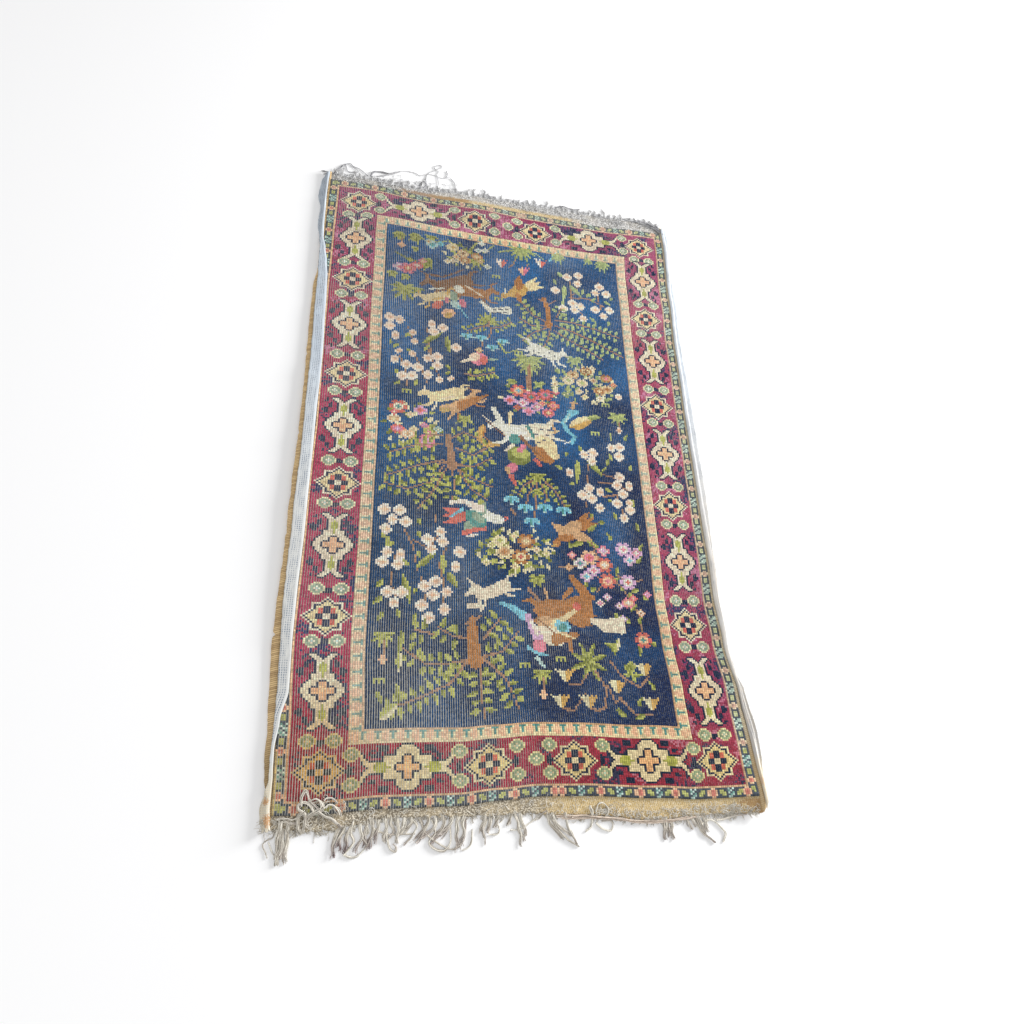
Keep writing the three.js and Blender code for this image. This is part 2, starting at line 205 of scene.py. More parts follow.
# Middle across, middle along, reach across, reach along, height.
SWELLS = table("""
    -190 465 150 80 8  -50 528 130 42 6  240 500 110 60 4  -375 -80 75 400 5  360 -262 90 130 6
    20 -495 160 62 4  375 -590 95 100 9""", 5)

# A pull at an edge dies away towards the far edge with the cube of the distance.
PULL_POWER = 3


def pulled(x, y):
    """Moves places on the square design to where the pulled rug has them."""
    right = np.clip((x + HALF_WIDTH) / (2 * HALF_WIDTH), 0, 1)
    top = np.clip((y + HALF_LENGTH) / (2 * HALF_LENGTH), 0, 1)
    across = (read_table(RIGHT_PULL, y) * right ** PULL_POWER
              + read_table(LEFT_PULL, y) * (1 - right) ** PULL_POWER)
    along = (read_table(TOP_PULL, x) * top ** PULL_POWER
             + read_table(BOTTOM_PULL, x) * (1 - top) ** PULL_POWER)
    return x + across, y + along


def lift(x, y):
    """How far the rug's underside is off the floor: the squared cosines of all the swells."""
    height = np.zeros(np.broadcast(x, y).shape)
    for middle_x, middle_y, across, along, high in SWELLS:
        reach = np.hypot((x - middle_x) / across, (y - middle_y) / along)
        height = height + high * np.cos(np.pi / 2 * np.clip(reach, 0, 1)) ** 2
    return height


def edge(half, pull, beyond):
    """Where the finished edge runs: its straight place, its pull, and what is woven beyond."""
    return lambda at: half + read_table(pull, at) + np.sign(half) * read_table(beyond, at)


left_edge = edge(-HALF_WIDTH, LEFT_PULL, LEFT_SELVEDGE)
right_edge = edge(HALF_WIDTH, RIGHT_PULL, RIGHT_SELVEDGE)
bottom_edge = edge(-HALF_LENGTH, BOTTOM_PULL, BOTTOM_BAND)
top_edge = edge(HALF_LENGTH, TOP_PULL, TOP_BAND)


# %% [markdown]
# ## Unevenness that isn't random each time
# Hand work wanders. Two kinds of unevenness are used: one value for each knot or thread, and
# slow clouds that drift over many knots. Both start from a seeded generator, so the rug comes
# out the same on every run.

# %% Clouds
def clouds(x, y, size_x, size_y, seed):
    """Random heights on a coarse lattice, joined by smooth steps: from about -1 to 1."""
    lattice = np.random.default_rng(seed).uniform(-1, 1, (67, 61))
    u, v = x / size_x + 1000.3, y / size_y + 1000.7
    column, row = np.floor(u).astype(int), np.floor(v).astype(int)
    s, t = smooth(u - column), smooth(v - row)

    def corner(right, up):
        return lattice[(row + up) % 67, (column + right) % 61]

    low = corner(0, 0) * (1 - s) + corner(1, 0) * s
    high = corner(0, 1) * (1 - s) + corner(1, 1) * s
    return low * (1 - t) + high * t


# %% [markdown]
# ## From arrays to a mesh
# Every piece ends as an array of places and an array of faces. One helper puts them into a
# mesh, turns millimetres into metres, stores the maps and colours that the material reads,
# gives the piece its finish, and hangs it on the empty of the body it rides on.


def add_piece(name, points, faces, finish, uv, bake_uv, colours=None):
    """uv and bake_uv hold two numbers, and colours four, for each corner of each face."""
    mesh = bpy.data.meshes.new(name)
    points = (points.reshape(-1, 3) + DESIGN_MIDDLE) * MILLIMETRE
    mesh.vertices.add(len(points))
    mesh.vertices.foreach_set("co", points.ravel())
    mesh.loops.add(faces.size)
    mesh.loops.foreach_set("vertex_index", faces.ravel())
    mesh.polygons.add(len(faces))
    mesh.polygons.foreach_set("loop_start", np.arange(0, faces.size, 4))
    mesh.update(calc_edges=True)
    for layer, values in (("Cloth", uv), ("OFBake", bake_uv)):
        mesh.uv_layers.new(name=layer).uv.foreach_set("vector", np.ravel(values))
    if colours is not None:
        held = mesh.color_attributes.new("Wool", "FLOAT_COLOR", "CORNER")
        held.data.foreach_set("color", np.ravel(colours))
    mesh.polygons.foreach_set("use_smooth", np.ones(len(mesh.polygons), bool))
    mesh.validate()
    mesh.materials.append(finish)
    piece = shown(name, mesh)
    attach(piece, "root")
    print(f"{name}: {2 * len(mesh.polygons)} triangles")


def grid_faces(rows, columns, around=False, flip=False):
    """The four corners of every cell of a grid of rows x columns points. With around, the
    last column joins the first, and with flip the faces look the other way."""
    number = np.arange(rows * columns).reshape(rows, columns)
    beside = np.roll(number, -1, 1) if around else number[:, 1:]
    here = number if around else number[:, :-1]
    corners = np.stack([here[:-1], beside[:-1], beside[1:], here[1:]], -1)
    return corners.reshape(-1, 4)[:, ::-1 if flip else 1]


def seam(around, most, full):
    """Where a face closes a tube, its map ends at the full turn and not at 0."""
    return np.where((around == 0) & (around.max(1, keepdims=True) >= most), full, around)


def at_corners(values, points, faces):
    """One value for each corner of each face, from a grid that spreads over the points."""
    return np.broadcast_to(values, points.shape[:2]).ravel()[faces]


# %% [markdown]
# ## Finishes
# A finish is a Principled shader with a few nodes before it. Written out by hand, node maths is
# hard to read, so a small class lets a socket be added, multiplied and compared like a number,
# and every other node comes from one method.


# %% A number in the nodes, and a finish
def operator(operation, swapped=False):
    """A method that adds a Math node for a number and another one."""
    def method(number, other=0.0):
        pair = (other, number) if swapped else (number, other)
        return number.finish.maths(operation, *pair)

    return method


class Number:
    """A socket that holds a number. Sums and products of these add Math nodes."""

    def __init__(self, finish, socket):
        self.finish, self.socket = finish, socket

    __add__ = __radd__ = operator("ADD")
    __sub__, __rsub__ = operator("SUBTRACT"), operator("SUBTRACT", swapped=True)
    __mul__ = __rmul__ = operator("MULTIPLY")
    __mod__, __abs__ = operator("FLOORED_MODULO"), operator("ABSOLUTE")


class Finish:
    """A material made of nodes, with a Principled shader at its end."""

    def __init__(self, name, roughness):
        self.material = bpy.data.materials.new(name)
        self.material.use_nodes = True
        self.tree = self.material.node_tree
        self.shader = self.tree.nodes["Principled BSDF"]
        set_inputs(self.shader, Roughness=roughness, Specular_IOR_Level=0.25)

    def node(self, kind, settings=None, **inputs):
        """Adds a node: its settings first, then the value or the link of each socket."""
        made = self.tree.nodes.new(kind)
        for key, value in (settings or {}).items():
            setattr(made, key, value)
        for name, value in inputs.items():
            key = int(name[1:]) if name[0] == "_" else name.replace("_", " ")
            self.feed(made.inputs[key], value)
        return made

    def feed(self, socket, value):
        value = getattr(value, "socket", value)
        if isinstance(value, bpy.types.NodeSocket):
            self.tree.links.new(value, socket)
        else:
            socket.default_value = value

    def maths(self, operation, first, second=0.0):
        made = self.node("ShaderNodeMath", {"operation": operation}, _0=first, _1=second)
        return Number(self, made.outputs[0])

    def smooth_step(self, value, low, high):
        """0 below low, 1 above high, and a smooth step between."""
        made = self.node("ShaderNodeMapRange", {"interpolation_type": "SMOOTHSTEP"},
                         Value=value, From_Min=low, From_Max=high)
        return Number(self, made.outputs[0])

    def between(self, value, low, high, blend):
        """1 between low and high, with smooth steps of that width just inside them."""
        up = self.smooth_step(value, low, low + blend)
        return up * (1 - self.smooth_step(value, high - blend, high))

    def mix(self, share, first, second):
        """A colour between two colours."""
        made = self.node("ShaderNodeMix", {"data_type": "RGBA"}, _0=share, _6=first, _7=second)
        return made.outputs[2]

    def layered(self, colour, *layers):
        """Lays tints over a colour, each by its own share."""
        for share, tint in layers:
            colour = self.mix(share, colour, paint(*tint))
        return colour

    def noise(self, scale, where, detail=2.0):
        made = self.node("ShaderNodeTexNoise", Vector=where, Scale=scale, Detail=detail)
        return Number(self, made.outputs[0])

    def scaled(self, where, by):
        made = self.node("ShaderNodeVectorMath", {"operation": "MULTIPLY"}, _0=where, _1=by)
        return made.outputs[0]

    def cloth(self):
        """The two numbers of the piece's own map, and the map itself."""
        held = self.node("ShaderNodeUVMap", {"uv_map": "Cloth"}).outputs[0]
        parts = self.node("ShaderNodeSeparateXYZ", Vector=held)
        return Number(self, parts.outputs[0]), Number(self, parts.outputs[1]), held

    def finish(self, colour, height=None, strength=0.4, distance=0.0005):
        """Feeds the colour, and a bump made of the height."""
        self.feed(self.shader.inputs["Base Color"], colour)
        if height is not None:
            bump = self.node("ShaderNodeBump", None, Height=height, Strength=strength,
                             Distance=distance)
            self.feed(self.shader.inputs["Normal"], bump.outputs[0])
        return self.material


def peaks(number):
    """1 at every whole number, and 0 halfway between two."""
    return abs(number % 1 - 0.5) * 2


def linear(colour):
    """Screen colours from 0 to 255 as the linear numbers that a shader takes."""
    share = np.asarray(colour, float) / 255
    return np.where(share <= 0.04045, share / 12.92, ((share + 0.055) / 1.055) ** 2.4)


def paint(*colour):
    return (*linear(colour), 1.0)

# %% [markdown]
# ## Wools
# The dyer's pots: each wool has one plain name and one colour, given as it looks on a screen.
# Age, light and the knots' own shade come later, in the wear and in the material.

# %% The dyed wools
WOOLS = {
    "navy": (22, 40, 74), "crimson": (164, 51, 77), "cream": (238, 221, 194),
    "peach": (246, 192, 152), "straw": (236, 214, 166), "gold": (212, 170, 96),
    "tan": (212, 170, 126), "teal": (84, 148, 140), "moss": (182, 184, 98),
    "olive": (128, 134, 62), "brown": (140, 98, 68), "rust": (180, 122, 70),
    "coral": (214, 112, 98), "rose": (226, 134, 150), "lilac": (214, 172, 204),
    "sky": (128, 196, 212), "blossom": (246, 228, 210), "ivory": (234, 232, 214),
    "khaki": (198, 168, 108), "sage": (152, 172, 148), "mint": (188, 214, 206),
    "reed": (230, 219, 178), "wood": (168, 128, 100), "blush": (250, 212, 182),
    "slate": (60, 68, 96),
}
wool_number = {name: number for number, name in enumerate(WOOLS)}
cartoon = np.full((ROWS, COLUMNS), wool_number["navy"])

# %% [markdown]
# ## Drawing on the cartoon
# Every figure is drawn with a few strokes: an oval, a pointed leaf, a stem that follows a line,
# and a flower whose rim waves in and out. Each stroke asks one question of all the knots in
# reach at once, "are you inside?", and dyes those that are. Places are given in knots from the
# middle of the rug, and sizes in millimetres, so that a circle is round though a knot is not.


# %% Strokes that dye knots
KNOT = np.array([KNOT_ACROSS, KNOT_ALONG])


def near(column, row, reach):
    """The part of the cartoon within reach of a place, and its knots' distances from it."""
    x, y = column * KNOT_ACROSS, row * KNOT_ALONG
    first, last = np.searchsorted(column_x, (x - reach, x + reach))
    low, high = np.searchsorted(row_y, (y - reach, y + reach))
    part = (slice(low, high), slice(first, last))
    return part, *np.meshgrid(column_x[first:last] - x, row_y[low:high] - y)


def dye(part, inside, wool):
    cartoon[part][inside] = wool_number[wool]


def turned(across, along, turn):
    """Places seen from axes turned by that many degrees: the first axis runs along turn."""
    angle = np.radians(turn)
    return (across * np.cos(angle) + along * np.sin(angle),
            along * np.cos(angle) - across * np.sin(angle))


def moved(place, ahead, aside, turn):
    """The place, in knots, that lies so many millimetres ahead and to the left of another."""
    return np.array(place) + np.array(turned(ahead, aside, -turn)) / KNOT


def oval(column, row, long, wide, wool, turn=0):
    """Inside where the two distances, each over its half size, have squares that add to < 1."""
    part, across, along = near(column, row, max(long, wide))
    ahead, aside = turned(across, along, turn)
    dye(part, (2 * ahead / long) ** 2 + (2 * aside / wide) ** 2 < 1, wool)


def leaf(column, row, long, wide, turn, wool="moss", vein="olive"):
    """A leaf from its foot: its half width is that of a sine wave, blunt at the foot."""
    part, across, along = near(column, row, long)
    ahead, aside = turned(across, along, turn)
    share = np.clip(ahead / long, 0, 1)
    inside = np.abs(aside) < wide / 2 * np.sin(np.pi * share ** 0.8)
    dye(part, inside, wool)
    if vein:
        dye(part, inside & (aside < 0), vein)


def stem(points, wool, width=3.0, tip=None):
    """A line through points: inside where the nearest stretch is closer than half its width."""
    points = (np.array(points, float) + (0.5, 0)) * KNOT
    tip = width if tip is None else tip
    middle = points.mean(0)
    reach = np.abs(points - middle).max() + width
    part, across, along = near(*middle / KNOT, reach)
    inside = np.zeros(across.shape, bool)
    stretches = len(points) - 1
    for number, (start, end) in enumerate(zip(points[:-1] - middle, points[1:] - middle)):
        step = end - start
        share = ((across - start[0]) * step[0] + (along - start[1]) * step[1]) / (step @ step)
        share = np.clip(share, 0, 1)
        away = np.hypot(across - start[0] - share * step[0], along - start[1] - share * step[1])
        half = (width + (tip - width) * (number + share) / stretches) / 2
        inside |= away < half
    dye(part, inside, wool)


def flower(column, row, size, petals, wool, turn=0, deep=0.25):
    """A rim that waves in and out once for each petal."""
    part, across, along = near(column, row, size)
    wave = np.abs(np.cos(petals / 2 * (np.arctan2(along, across) - np.radians(turn))))
    dye(part, np.hypot(across, along) < size / 2 * (1 - deep + deep * wave), wool)


def chart(column, row, quarter, letters):
    """A motif that is alike on both sides and upside down, from the chart of its top right
    quarter, whose first column and last row run through the middle."""
    rows = np.array([list(line) for line in quarter])
    top = np.hstack([rows[:, :0:-1], rows])
    whole = np.vstack([top, top[-2::-1]])[::-1]
    low = np.searchsorted(row_y, row * KNOT_ALONG) - whole.shape[0] // 2
    left = np.searchsorted(column_x, column * KNOT_ACROSS) - whole.shape[1] // 2
    part = (slice(low, low + whole.shape[0]), slice(left, left + whole.shape[1]))
    for letter, wool in letters.items():
        dye(part, whole == letter, wool)


# %% [markdown]
# ## The bands
# A guard is a narrow band with a small repeat. Its chart is written from the field outwards, so
# one chart serves all four sides: on the ends it is read across, on the sides it is read along.

# %% The crimson border and the grounds of the guards
bands = np.zeros((ROWS, COLUMNS), int)
edge_columns = np.minimum(np.arange(COLUMNS), COLUMNS - 1 - np.arange(COLUMNS))
edge_rows = np.minimum(np.arange(ROWS), ROWS - 1 - np.arange(ROWS))
for number, band in enumerate((OUTER_GUARD, OUTER_GUARD + MAIN_BORDER,
                               OUTER_GUARD + MAIN_BORDER + INNER_GUARD), 1):
    bands[np.ix_(edge_rows >= band[1], edge_columns >= band[0])] = number
OUTER, MAIN, INNER, MIDDLE = range(4)
cartoon[bands == MAIN] = wool_number["crimson"]
print({name: int((bands == number).sum())
       for number, name in enumerate(("outer guard", "main border", "inner guard", "field"))})

# The letters of the charts.
LETTERS = {"C": "cream", "N": "navy", "P": "peach", "G": "moss", "A": "tan", "T": "teal",
           "S": "straw", "R": "coral", "K": "sky", "L": "mint", "W": "reed", "E": "sage"}


def band_chart(number, side_rows, side_starts, end_rows, end_starts):
    """Repeats a chart all round a band. Its rows run from the field outwards. The starts give
    the knots, counted from the middle of the rug, where the repeats begin."""
    high, low = np.flatnonzero((bands >= number).any(1))[[-1, 0]]
    right, left = np.flatnonzero((bands >= number).any(0))[[-1, 0]]
    row, column = np.nonzero(bands == number)
    from_side = np.minimum(column - left, right - column)
    from_end = np.minimum(row - low, high - row)
    thick_side, thick_end = INNER_GUARD if number == INNER else OUTER_GUARD
    on_side = from_side / thick_side < from_end / thick_end
    for chosen, rows, starts, thick, inward, along in (
            (on_side, side_rows, side_starts, thick_side, from_side, row - ROWS / 2),
            (~on_side, end_rows, end_starts, thick_end, from_end, column - COLUMNS / 2)):
        letters = np.array([list(line) for line in rows])
        out = np.clip(thick - 1 - inward[chosen], 0, len(letters) - 1)
        starts = np.array(starts, float)
        first = np.clip(np.searchsorted(starts, along[chosen], "right") - 1, 0, None)
        place = np.floor(along[chosen] - starts[first]).astype(int) % letters.shape[1]
        found = letters[out, place]
        for letter in np.unique(found):
            hit = found == letter
            cartoon[row[chosen][hit], column[chosen][hit]] = wool_number[LETTERS[letter]]


# %% The peach guard: a teal T between two rounded blocks
INNER_ROWS = "AAAAAAA TTTSPPS STSPPPP STSPPPP STSPPPP SSSSPPS SSSSSSS".split()
SIDE_REPEAT, END_REPEAT = 7.15, 6
band_chart(INNER, INNER_ROWS, np.arange(-177.3, 176, SIDE_REPEAT),
           INNER_ROWS, np.arange(-77, 78, END_REPEAT))

# %% The blue guard: a floret, then a pale bar between two green buds
FLORET_HALF = 2
SIDE_FLORETS = np.arange(-197.5, 200, 19.72)
END_FLORETS = np.array([-94.5, -77.5, -60.1, -43, -26, -8.5, 11.7, 28.5, 46.1, 62.5, 80.3, 97])
band_chart(OUTER, [
    "AAAAAAAAAAAAAAAAAAAA",
    "NPPNNNNNNLNTLNLNNNNN",
    "PRRPNGGGNTLNLTNNGGGN",
    "PRRPNGGGNLTLNLTNGGGN",
    "NPPNNNNNNNLTNLLNNNNN",
], SIDE_FLORETS - FLORET_HALF, [
    "AAAAAAAAAAAAAAAAA",
    "NPPNNNNNNLNLNNNNN",
    "PRRPNGGNNTLNNNGGN",
    "PRRPNGGGNLNTNGGGN",
    "PRRPNNGGNNTLNGGNN",
    "NPPNNNNNNLLNNNNNN",
], END_FLORETS - FLORET_HALF)

# %% [markdown]
# ## Stars, cartouches and rosettes
# The main border alternates eight-pointed stars with long cartouches, and sets a pair of small
# rosettes in each gap. A star is a square laid over a diamond. Its outlines are the same two
# shapes drawn a knot larger each time, the way a weaver steps outwards.


# %% The star
def star(column, row):
    """A square over a diamond, each a knot smaller for every outline, round nine blocks."""
    part, across, along = near(column, row, 40)
    side = np.abs(np.rint((across - across.flat[np.abs(across).argmin()]) / KNOT_ACROSS))
    up = np.abs(np.rint((along - along.flat[np.abs(along).argmin()]) / KNOT_ALONG))
    for shrink, wool in enumerate(("cream", "navy", "straw")):
        square = (side <= 6 - shrink) & (up <= 7 - shrink)
        dye(part, square | (side + up <= 10 - shrink), wool)
    blocks = (side > 1).astype(int) + (up > 1)
    chequer = (side < 5) & (up < 6)
    dye(part, chequer & (blocks == 0), "cream")
    dye(part, chequer & (blocks == 1) & (side + up < 7), "navy")
    dye(part, (side < 4) & (up < 5) & (blocks == 2), "coral")


# The quarter charts of the long cartouches and of the rosette.
LYING_CARTOUCHE = """
NNN................
CCCN...............
CCCCN..............
CCCCCN.............
CCCCCN............N
NNCCCNNNNN.......NC
PPNCCCCCCCN......NC
PPNCCCCCCCN.....NCC
PPNCCCCCCCNNNNNNCCN
PPNNNCCCCGGGGCCCCCN
PPPPPNCCCGGGGGCCCN.
PPPPPNCGGGGGGGCCN..""".split()
STANDING_CARTOUCHE = """
...NNN....
..NCCCN...
.NCCCN....
NCCCN.....
CCCN......
GCCN......
GGCN......
GGCN......
GGCN......
GGCN......
GCCNN.....
GCCCCN....
GCCCCN....
CCCCCN....
NNCCCCN...
PPNCCCCN..
PPNCCCCCN.
PPNNNCCCN.
PPPPPNCCCN
PPPPPNCCCN""".split()
ROSETTE = "WW.. EEW. CEEW LCEW".split()


# %% Setting the main border
BORDER_MIDDLE = FIELD / 2 + INNER_GUARD + MAIN_BORDER / 2
# Stars and cartouches in turn, down each side: the weaver spaced them by eye.
SIDE_STATIONS = (187.3, 152.9, 117, 79.3, 42, 4.7, -33, -71.4, -110.5, -149.6, -187.3)
END_CARTOUCHE, END_STAR = 52.06, 18.53
END_PAIRS, END_SINGLE = (7.35, 30.9, 74.4), 0.6
PAIR_FROM_STAR, SIDE_PAIR_APART, END_PAIR_APART = 13.6, 5.4, 6.7


def pair(column, row, apart_across, apart_along, dash_long, dash_wide):
    """Two rosettes with a few navy knots between them."""
    oval(column, row, dash_long, dash_wide, "navy")
    for side in (-1, 1):
        chart(column + side * apart_across, row + side * apart_along, ROSETTE, LETTERS)


CORNERS = ((-1, -1), (-1, 1), (1, -1), (1, 1))
for side in (-1, 1):
    for number, height in enumerate(SIDE_STATIONS):
        middle = side * BORDER_MIDDLE[0]
        if number % 2:
            for up, out in CORNERS:
                oval(middle + out * 8.2, height + up * 9.8, 10, 13, "navy")
                oval(middle + out * 5.9, height + up * 13.8, 7, 11, "navy", out * up * 20)
                oval(middle + out * 7.6, height + up * 17, 5, 9, "navy", out * up * 30)
            chart(middle, height, STANDING_CARTOUCHE, LETTERS)
        else:
            star(middle, height)
            for up in (-1, 1):
                if abs(height + up * PAIR_FROM_STAR) < BORDER_MIDDLE[1]:
                    pair(middle, height + up * PAIR_FROM_STAR, SIDE_PAIR_APART, 0, 14, 9)
    height = side * BORDER_MIDDLE[1]
    for place in (-1, 1):
        for up, out in CORNERS:
            oval(place * END_CARTOUCHE + out * 9.1, height + up * 9.4, 15, 10, "navy")
            oval(place * END_CARTOUCHE + out * 13.5, height + up * 6.2, 12, 6, "navy",
                 out * up * 20)
        chart(place * END_CARTOUCHE, height, LYING_CARTOUCHE, LETTERS)
        star(place * END_STAR, height)
        for away in END_PAIRS:
            pair(place * away, height, 0, END_PAIR_APART, 8, 15)
    chart(END_SINGLE, height, ROSETTE, LETTERS)

# %% [markdown]
# ## The garden in the field
# The field holds sprays of white blossom, drooping boughs, small trees, and birds and beasts
# between them, with hardly two alike. Each kind of plant or creature is one function, and the
# tables say where it grows. The figures are drawn from scratch for this cartoon.


# %% Blossoms, blooms and leaves
FLOWERS = {"daisy": (".A..", "BAA.", "CBBA", "CCBA"), "cross": ("AA..", "BA..", "CBAA", "CCBA"),
           "wildrose": (".AA..", "AAAA.", "BBA..", "CBBAA", "CCBAA"),
           "starlet": ("A..", "BA.", "CBA")}


def blossoms(places, size=19.5):
    """Pale round flowers with a scalloped rim and a warm middle."""
    for number, (column, row) in enumerate(places):
        flower(column, row, size - number % 3, 8, "blossom", 17 * number, 0.07)
        oval(column, row, 11, 9.5, "blush")
        oval(column + number % 2, row, 4, 3, "peach")


def bloom(kind, column, row, petal, ring="straw", heart="rust"):
    chart(column, row, FLOWERS[kind], {"A": petal, "B": ring, "C": heart})


def sprig(column, row, long, leaves=5, spread=130, turn=-90, wide=6.5):
    """A fan of leaves that hang or stand round one foot."""
    for number in range(leaves):
        share = number / (leaves - 1) - 0.5
        reach = long * (1 - 0.7 * abs(share) + 0.12 * (number % 2))
        leaf(column, row, reach, wide, turn + spread * share, "moss",
             "olive" if number % 2 else None)


def bough(points, long=15.0, wide=8.0, gap=12.0, lean=72, thick=3.2, wood="wood"):
    """A stem with leaves in pairs along it, each leaning forwards by some degrees."""
    stem(points, wood, thick, 2.4)
    points = np.array(points, float) * KNOT
    steps = np.hypot(*np.diff(points, axis=0).T)
    along = np.concatenate([[0], np.cumsum(steps)])
    for number, at in enumerate(np.arange(gap, along[-1], gap)):
        place = [np.interp(at, along, points[:, axis]) for axis in (0, 1)] / KNOT
        stretch = min(np.searchsorted(along, at) - 1, len(steps) - 1)
        ahead = np.degrees(np.arctan2(*(points[stretch + 1] - points[stretch])[::-1]))
        for side in (-1, 1):
            turn = ahead + side * lean
            leaf(*moved(place, 2.6, 0, turn), long - 3 * (number % 2), wide, turn,
                 "moss", "olive" if (number + side) % 3 else None)


def strewn(column, row, wide, tall, many, seed):
    """Small leaves strewn over an oval patch, pointing outwards, closer in its middle."""
    dots = np.random.default_rng(seed)
    around, far = dots.uniform(0, 2 * np.pi, many), dots.uniform(0.15, 1, many) ** 0.7
    for number, (angle, out) in enumerate(zip(around, far)):
        place = moved((column, row), wide / 2 * out * np.cos(angle),
                      tall / 2 * out * np.sin(angle), 0)
        leaf(*place, dots.uniform(9, 14), 6.5, np.degrees(angle) + dots.uniform(-50, 50),
             ("moss", "olive", "reed")[number % 3], None)


def mark(column, row):
    """A tiny plant: a bar on three feet."""
    stem([(column - 2, row + 1), (column + 2, row + 1)], "moss", 3)
    for foot in (-2, 0, 2):
        stem([(column + foot, row + 1), (column + foot, row - 1.5)], "moss", 2.6)


def cup(column, row, left="reed", right="gold", wide=16.5, tall=22.0):
    """A pointed cup with a jagged rim: it widens from the foot, and its two halves differ."""
    part, across, along = near(column, row, tall)
    up = along / tall + 0.5
    rim = 0.84 + 0.16 * (np.rint(across / KNOT_ACROSS) % 2)
    inside = (up > 0) & (up < rim) & (np.abs(across) < wide * (0.12 + 0.95 * up))
    dye(part, inside, right)
    dye(part, inside & (across < -0.1 * wide), left)


def bell(column, row, size=15.0):
    """A hanging bell: three leaves that part from the stem, with pale tips."""
    for turn in (-28, -152, -90):
        leaf(column, row, size, 0.55 * size, turn, "sky", "teal" if turn == -90 else None)
        oval(*moved((column, row), 0.8 * size, 0, turn), 4.4, 3.4, "mint")


# %% Birds and beasts
def bird(column, row, long, turn, body, wing, tail, raised=1, beak="gold", crest=None):
    """A flying bird, seen from the side: a leaf for the body, one for each wing, a fan of
    tail feathers, a round head and a beak, all turned to its flight."""
    def at(ahead, aside):
        return moved((column, row), ahead * long, raised * aside * long, turn)

    for spread in (-16, 0, 16):
        leaf(*at(-0.05, 0), 0.52 * long, 0.13 * long, turn + 180 + spread, tail, None)
    leaf(*at(-0.18, 0), 0.6 * long, 0.3 * long, turn, body, None)
    leaf(*at(0.05, 0.02), 0.44 * long, 0.2 * long, turn + raised * 128, wing, None)
    leaf(*at(0.12, 0), 0.3 * long, 0.13 * long, turn - raised * 70, wing, None)
    oval(*at(0.42, 0.04), 0.17 * long, 0.14 * long, body, turn)
    stem([at(0.48, 0.04), at(0.58, 0.02)], beak, 3.2, 2.4)
    if crest:
        stem([at(0.4, 0.1), at(0.32, 0.2)], crest, 3, 2.4)


def beast(column, row, long, turn, coat, shade, faces=1, tail=None, horns=None, spots=None):
    """A running four-legged beast: a thick stem from haunch to chest, a neck and head, four
    legs thrown out before and behind, ears and a tail."""
    def at(ahead, aside):
        return moved((column, row), ahead * faces * long, aside * long, turn)

    stem([at(-0.3, 0), at(-0.42, -0.14), at(-0.6, -0.2)], coat, 0.1 * long, 3)
    stem([at(-0.26, -0.02), at(-0.3, -0.2), at(-0.42, -0.3)], shade, 0.1 * long, 3)
    stem([at(0.22, 0), at(0.38, -0.12), at(0.52, -0.1)], coat, 0.09 * long, 3)
    stem([at(0.18, -0.02), at(0.24, -0.18), at(0.38, -0.26)], shade, 0.09 * long, 3)
    stem([at(-0.28, 0), at(0.0, 0.01), at(0.22, 0.04)], coat, 0.3 * long, 0.24 * long)
    stem([at(0.22, 0.06), at(0.36, 0.2)], coat, 0.16 * long, 0.12 * long)
    stem([at(0.36, 0.21), at(0.5, 0.17)], coat, 0.13 * long, 0.08 * long)
    stem([at(0.35, 0.24), at(0.3, 0.33)], shade, 3.4, 2.6)
    stem([at(-0.2, -0.06), at(0.1, -0.05)], shade, 3, 2.4)
    if horns:
        stem([at(0.37, 0.24), at(0.33, 0.36), at(0.42, 0.46)], horns, 3.4, 2.6)
    stem([at(-0.38, 0.05), at(-0.5, 0.16), at(-0.62, 0.14)], tail or coat, 0.1 * long, 3)
    if spots:
        for number in range(11):
            oval(*at(-0.34 + 0.07 * number, 0.06 * (-1) ** number), 3.2, 2.6, spots)


# %% Drawing from tables
MOTIFS = {motif.__name__: motif for motif in (stem, bough, oval, leaf, flower, sprig, strewn, mark,
                                              cup, bell, bird, beast, blossoms)}
MOTIFS["blade"] = partial(leaf, vein=None)
for kind in FLOWERS:
    MOTIFS[kind] = partial(bloom, kind)


def value(word):
    """A number, nothing, or the name of a wool."""
    if word.lstrip("-").replace(".", "").isdigit():
        return float(word) if "." in word else int(word)
    return None if word == "-" else word


def draw(strokes):
    """Strokes are parted by semicolons and drawn in turn, from the ground up. Each names a motif,
    or repeats the last one, and gives what it takes. The places of a line come after a colon,
    and a slash starts another line of the same kind. A dash stands for nothing."""
    for stroke in strokes.split(";"):
        head, _, lines = stroke.partition(":")
        words = head.split()
        if words and words[0] in MOTIFS:
            motif = MOTIFS[words.pop(0)]
        for line in lines.split("/"):
            places = [table(line)] if line.split() else []
            motif(*places, *map(value, words))


